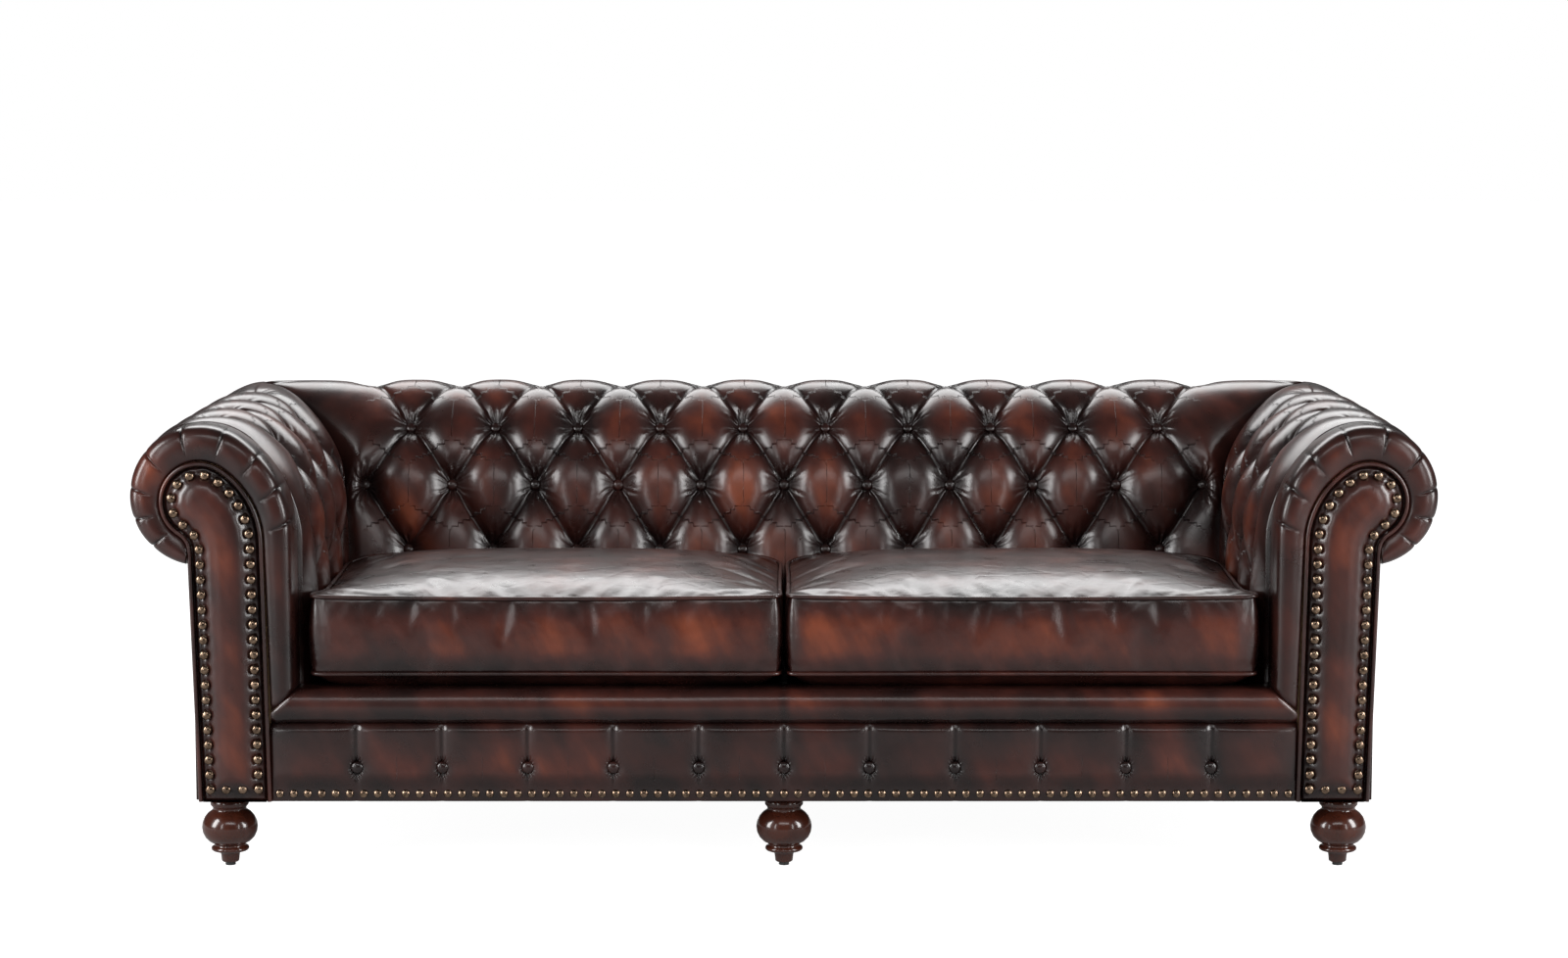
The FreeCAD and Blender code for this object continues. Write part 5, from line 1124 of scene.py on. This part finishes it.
def cushion(name, side, body):
    """The finished cover, lighter along the middle of its boxing with painted shade toward its seams and
    front corners, and with its two lines of piping.
    """
    mesh, seams, top_seam, low_seam = cut_cover(name, side)
    cover = bpy.data.objects.new(name, mesh)
    scene.collection.objects.link(cover)
    swell(cover, seams)
    mesh = cover.data
    mesh.shade_smooth()
    rubs_and_shade = []
    for v in mesh.vertices:
        depth = min(abs(v.co.z - CUSHION_LOW), abs(CUSHION_HIGH - v.co.z))
        outer = min(abs(abs(v.co.x) - INNER_SIDE), abs(OUTER_SIDE - abs(v.co.x)))
        # The boxing is worn lighter along its middle and darkened as painted shade toward its seams and front
        # corners; the top is lighter up its crown.
        if CUSHION_LOW < v.co.z < CUSHION_HIGH + 0.002:
            rubs_and_shade.append(0.20 + 0.46 * eased(depth / 0.045) * eased(outer / 0.05 if v.co.y < -0.4 else 1))
        else:
            rubs_and_shade.append(0.20 + 0.22 * eased((v.co.z - CUSHION_HIGH) / 0.03))
    mark(mesh, "rub_and_shade", rubs_and_shade)
    mesh.materials.append(cushion_leather)
    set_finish(cover, "cushion_leather")
    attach(cover, body)
    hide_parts(body + "_cover", body + "_core")
    centre = Vector((side * (INNER_SIDE + OUTER_SIDE) / 2, (FRONT_SIDE + BACK_SIDE) / 2, 0))
    for label, seam, rise in (("top", top_seam, 0.001), ("bottom", low_seam, -0.001)):
        line = []
        for s in seam:
            flat = Vector((s.x - centre.x, (s.y - centre.y) * 1.3, 0)).normalized()
            line.append(s + Vector((flat.x * 0.0022, flat.y * 0.0022, rise)))
        cord_name = name + "_" + label + "_piping"
        welt(cord_name, line, PIPE_RADIUS, piping_leather, "piping_leather", body, closed=True)
    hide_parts(body + "_piping")


cushion("right_seat_cushion", 1, "right_cushion")
cushion("left_seat_cushion", -1, "left_cushion")


# Inside: kiln-dried hardwood boards, woven jute webbing, the padded deck under the cushions in black lining
# cloth, and the black dust cover stretched under the frame. The glides are nylon and the hanger bolts steel.
def two_toned(skin, tree, pattern, dark, pale):
    """Colour that goes between a dark and a pale tone as its pattern does."""
    tone = add_node(tree, "MixRGB", {"Fac": pattern, 1: (*dark, 1), 2: (*pale, 1)})
    tree.links.new(tone.outputs[0], skin.inputs["Base Color"])


def place_in(tree):
    return add_node(tree, "TexCoord").outputs["Object"]


timber, tree, wood = new_material("frame_hardwood")
fibres = cloud(tree, place_in(tree), 9.0, 6.0, (1.0, 9.0, 9.0))
two_toned(wood, tree, fibres, (0.36, 0.21, 0.10), (0.60, 0.41, 0.22))
tree.links.new(maths(tree, "MULTIPLY_ADD", fibres, 0.2, 0.55), wood.inputs["Roughness"])

jute, tree, fibre = new_material("jute_webbing")
weave = add_node(tree, "TexWave", {"Vector": place_in(tree), "Scale": 60.0, "Distortion": 1.5})
two_toned(fibre, tree, weave.outputs["Fac"], (0.30, 0.21, 0.10), (0.50, 0.38, 0.20))
fibre.inputs["Roughness"].default_value = 0.9

lining, tree, cloth_skin = new_material("black_lining_cloth")
threads = cloud(tree, place_in(tree), 300.0, 2.0)
two_toned(cloth_skin, tree, threads, (0.008, 0.007, 0.007), (0.030, 0.027, 0.026))
cloth_skin.inputs["Roughness"].default_value = 0.85

plastic, tree, nylon = new_material("glide_nylon")
two_toned(nylon, tree, cloud(tree, place_in(tree), 200.0), (0.02, 0.02, 0.02), (0.06, 0.06, 0.06))
nylon.inputs["Roughness"].default_value = 0.5

steel, tree, plated = new_material("plated_steel")
dulled = maths(tree, "MULTIPLY_ADD", cloud(tree, place_in(tree), 120.0), 0.3, 0.25)
tree.links.new(dulled, plated.inputs["Roughness"])
plated.inputs["Base Color"].default_value = (0.45, 0.45, 0.47, 1)
plated.inputs["Metallic"].default_value = 1.0

finishes = {"seat_webbing": jute, "back_webbing": jute, "dust_cover": lining, "foot_glides": plastic,
            "hanger_bolts": steel, "left_cushion_zip": nail_bronze, "right_cushion_zip": nail_bronze}
dressed = {"outside_back", "left_outside_arm", "right_outside_arm"}
for name, node in frame["nodes"].items():
    if name not in dressed:
        node.data.materials.clear()
        node.data.materials.append(finishes.get(name, timber))

DECK_SOFTENED, DECK_EDGE_DROP, DECK_SET_DOWN = 0.014, 0.012, 0.0012
deck_low, deck_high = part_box("seat_deck")
nx, ny = 60, 40
spots = []
for r in range(ny + 1):
    for c in range(nx + 1):
        u, v = 2 * c / nx - 1, 2 * r / ny - 1
        x = deck_high.x * u
        y = (deck_low.y + deck_high.y) / 2 + (deck_high.y - deck_low.y) / 2 * v
        edge = min((1 - abs(u)) * deck_high.x, (1 - abs(v)) * (deck_high.y - deck_low.y) / 2)
        drop = DECK_EDGE_DROP * max(0.0, 1 - edge / DECK_SOFTENED) ** 2
        sag = 0.0006 * noise.noise(Vector((x * 8, y * 8, 0)))
        spots.append(Vector((x, y, deck_high.z - DECK_SET_DOWN - drop + sag)))
rim = list(range(nx)) + [r * (nx + 1) + nx for r in range(ny)]
rim += [ny * (nx + 1) + c for c in range(nx, 0, -1)] + [r * (nx + 1) for r in range(ny, 0, -1)]
faces = grid_faces(ny + 1, nx + 1)
start = len(spots)
for k in rim:
    spots.append(Vector((spots[k].x, spots[k].y, deck_low.z)))
for k in range(len(rim)):
    n = (k + 1) % len(rim)
    faces.append((rim[k], rim[n], start + n, start + k))
faces.append(tuple(range(start, start + len(rim))))
deck = piece_from("seat_deck_pad", spots, faces, lining, "dust_cloth")
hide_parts("seat_deck")


# Feet: turned hardwood, stained dark mahogany and polished, with a ring under a ball and a collar on top.
# Each is screwed up into the frame on its hanger bolt and stands on a nylon glide.
foot_polish, tree, polish = new_material("mahogany_polish")
figure = cloud(tree, place_in(tree), 18.0, 6.0, (3.0, 3.0, 0.6))
two_toned(polish, tree, figure, (0.018, 0.005, 0.0035), (0.095, 0.022, 0.010))
tree.links.new(maths(tree, "MULTIPLY_ADD", figure, 0.12, 0.16), polish.inputs["Roughness"])
polish.inputs["Coat Weight"].default_value = 0.6
polish.inputs["Coat Roughness"].default_value = 0.08
# Heights and radii of the turning: the stem in the glide, the ring, the ball, the neck and the top collar.
TURNING = ((0.006, 0.0130), (0.0075, 0.0150), (0.020, 0.0165), (0.0250, 0.0200),
           (0.0262, 0.0300), (0.0280, 0.0322), (0.0302, 0.0328), (0.0325, 0.0320), (0.0340, 0.0296),
           (0.0360, 0.0262), (0.0390, 0.0285), (0.0430, 0.0360), (0.0500, 0.0428), (0.0590, 0.0470),
           (0.0680, 0.0482), (0.0770, 0.0470), (0.0860, 0.0430), (0.0930, 0.0370), (0.0980, 0.0300),
           (0.1010, 0.0286), (0.1040, 0.0300), (0.1075, 0.0330), (0.1090, 0.0332), (0.1220, 0.0332))
FEET_X = (-0.966, 0, 0.966)
sole_height, sole_radius = TURNING[0]
bpy.ops.object.select_all(action="DESELECT")
bpy.ops.mesh.primitive_circle_add(vertices=40, radius=sole_radius, fill_type="NGON",
                                  location=(0, 0, sole_height))
foot = bpy.context.object
bpy.ops.object.mode_set(mode="EDIT")
bpy.ops.mesh.select_all(action="SELECT")
for (z, radius), (z2, radius2) in zip(TURNING, TURNING[1:]):
    bpy.ops.mesh.extrude_region_move(TRANSFORM_OT_translate={"value": (0, 0, z2 - z)})
    bpy.ops.transform.resize(value=(radius2 / radius, radius2 / radius, 1), center_override=(0, 0, z2))
bpy.ops.mesh.select_all(action="SELECT")
bpy.ops.mesh.normals_make_consistent(inside=False)
bpy.ops.object.mode_set(mode="OBJECT")
foot.data.transform(foot.matrix_world)
foot.location = (0, 0, 0)
for row_name, node_name, y in (("front_turned_feet", "front_feet", -0.405),
                               ("rear_turned_feet", "rear_feet", 0.305)):
    places = [((x, y, 0), (0, 0, 1)) for x in FEET_X]
    feet = copies_at(row_name, foot, places, foot_polish, "foot_wood")
    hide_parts(node_name)
bpy.data.objects.remove(foot)
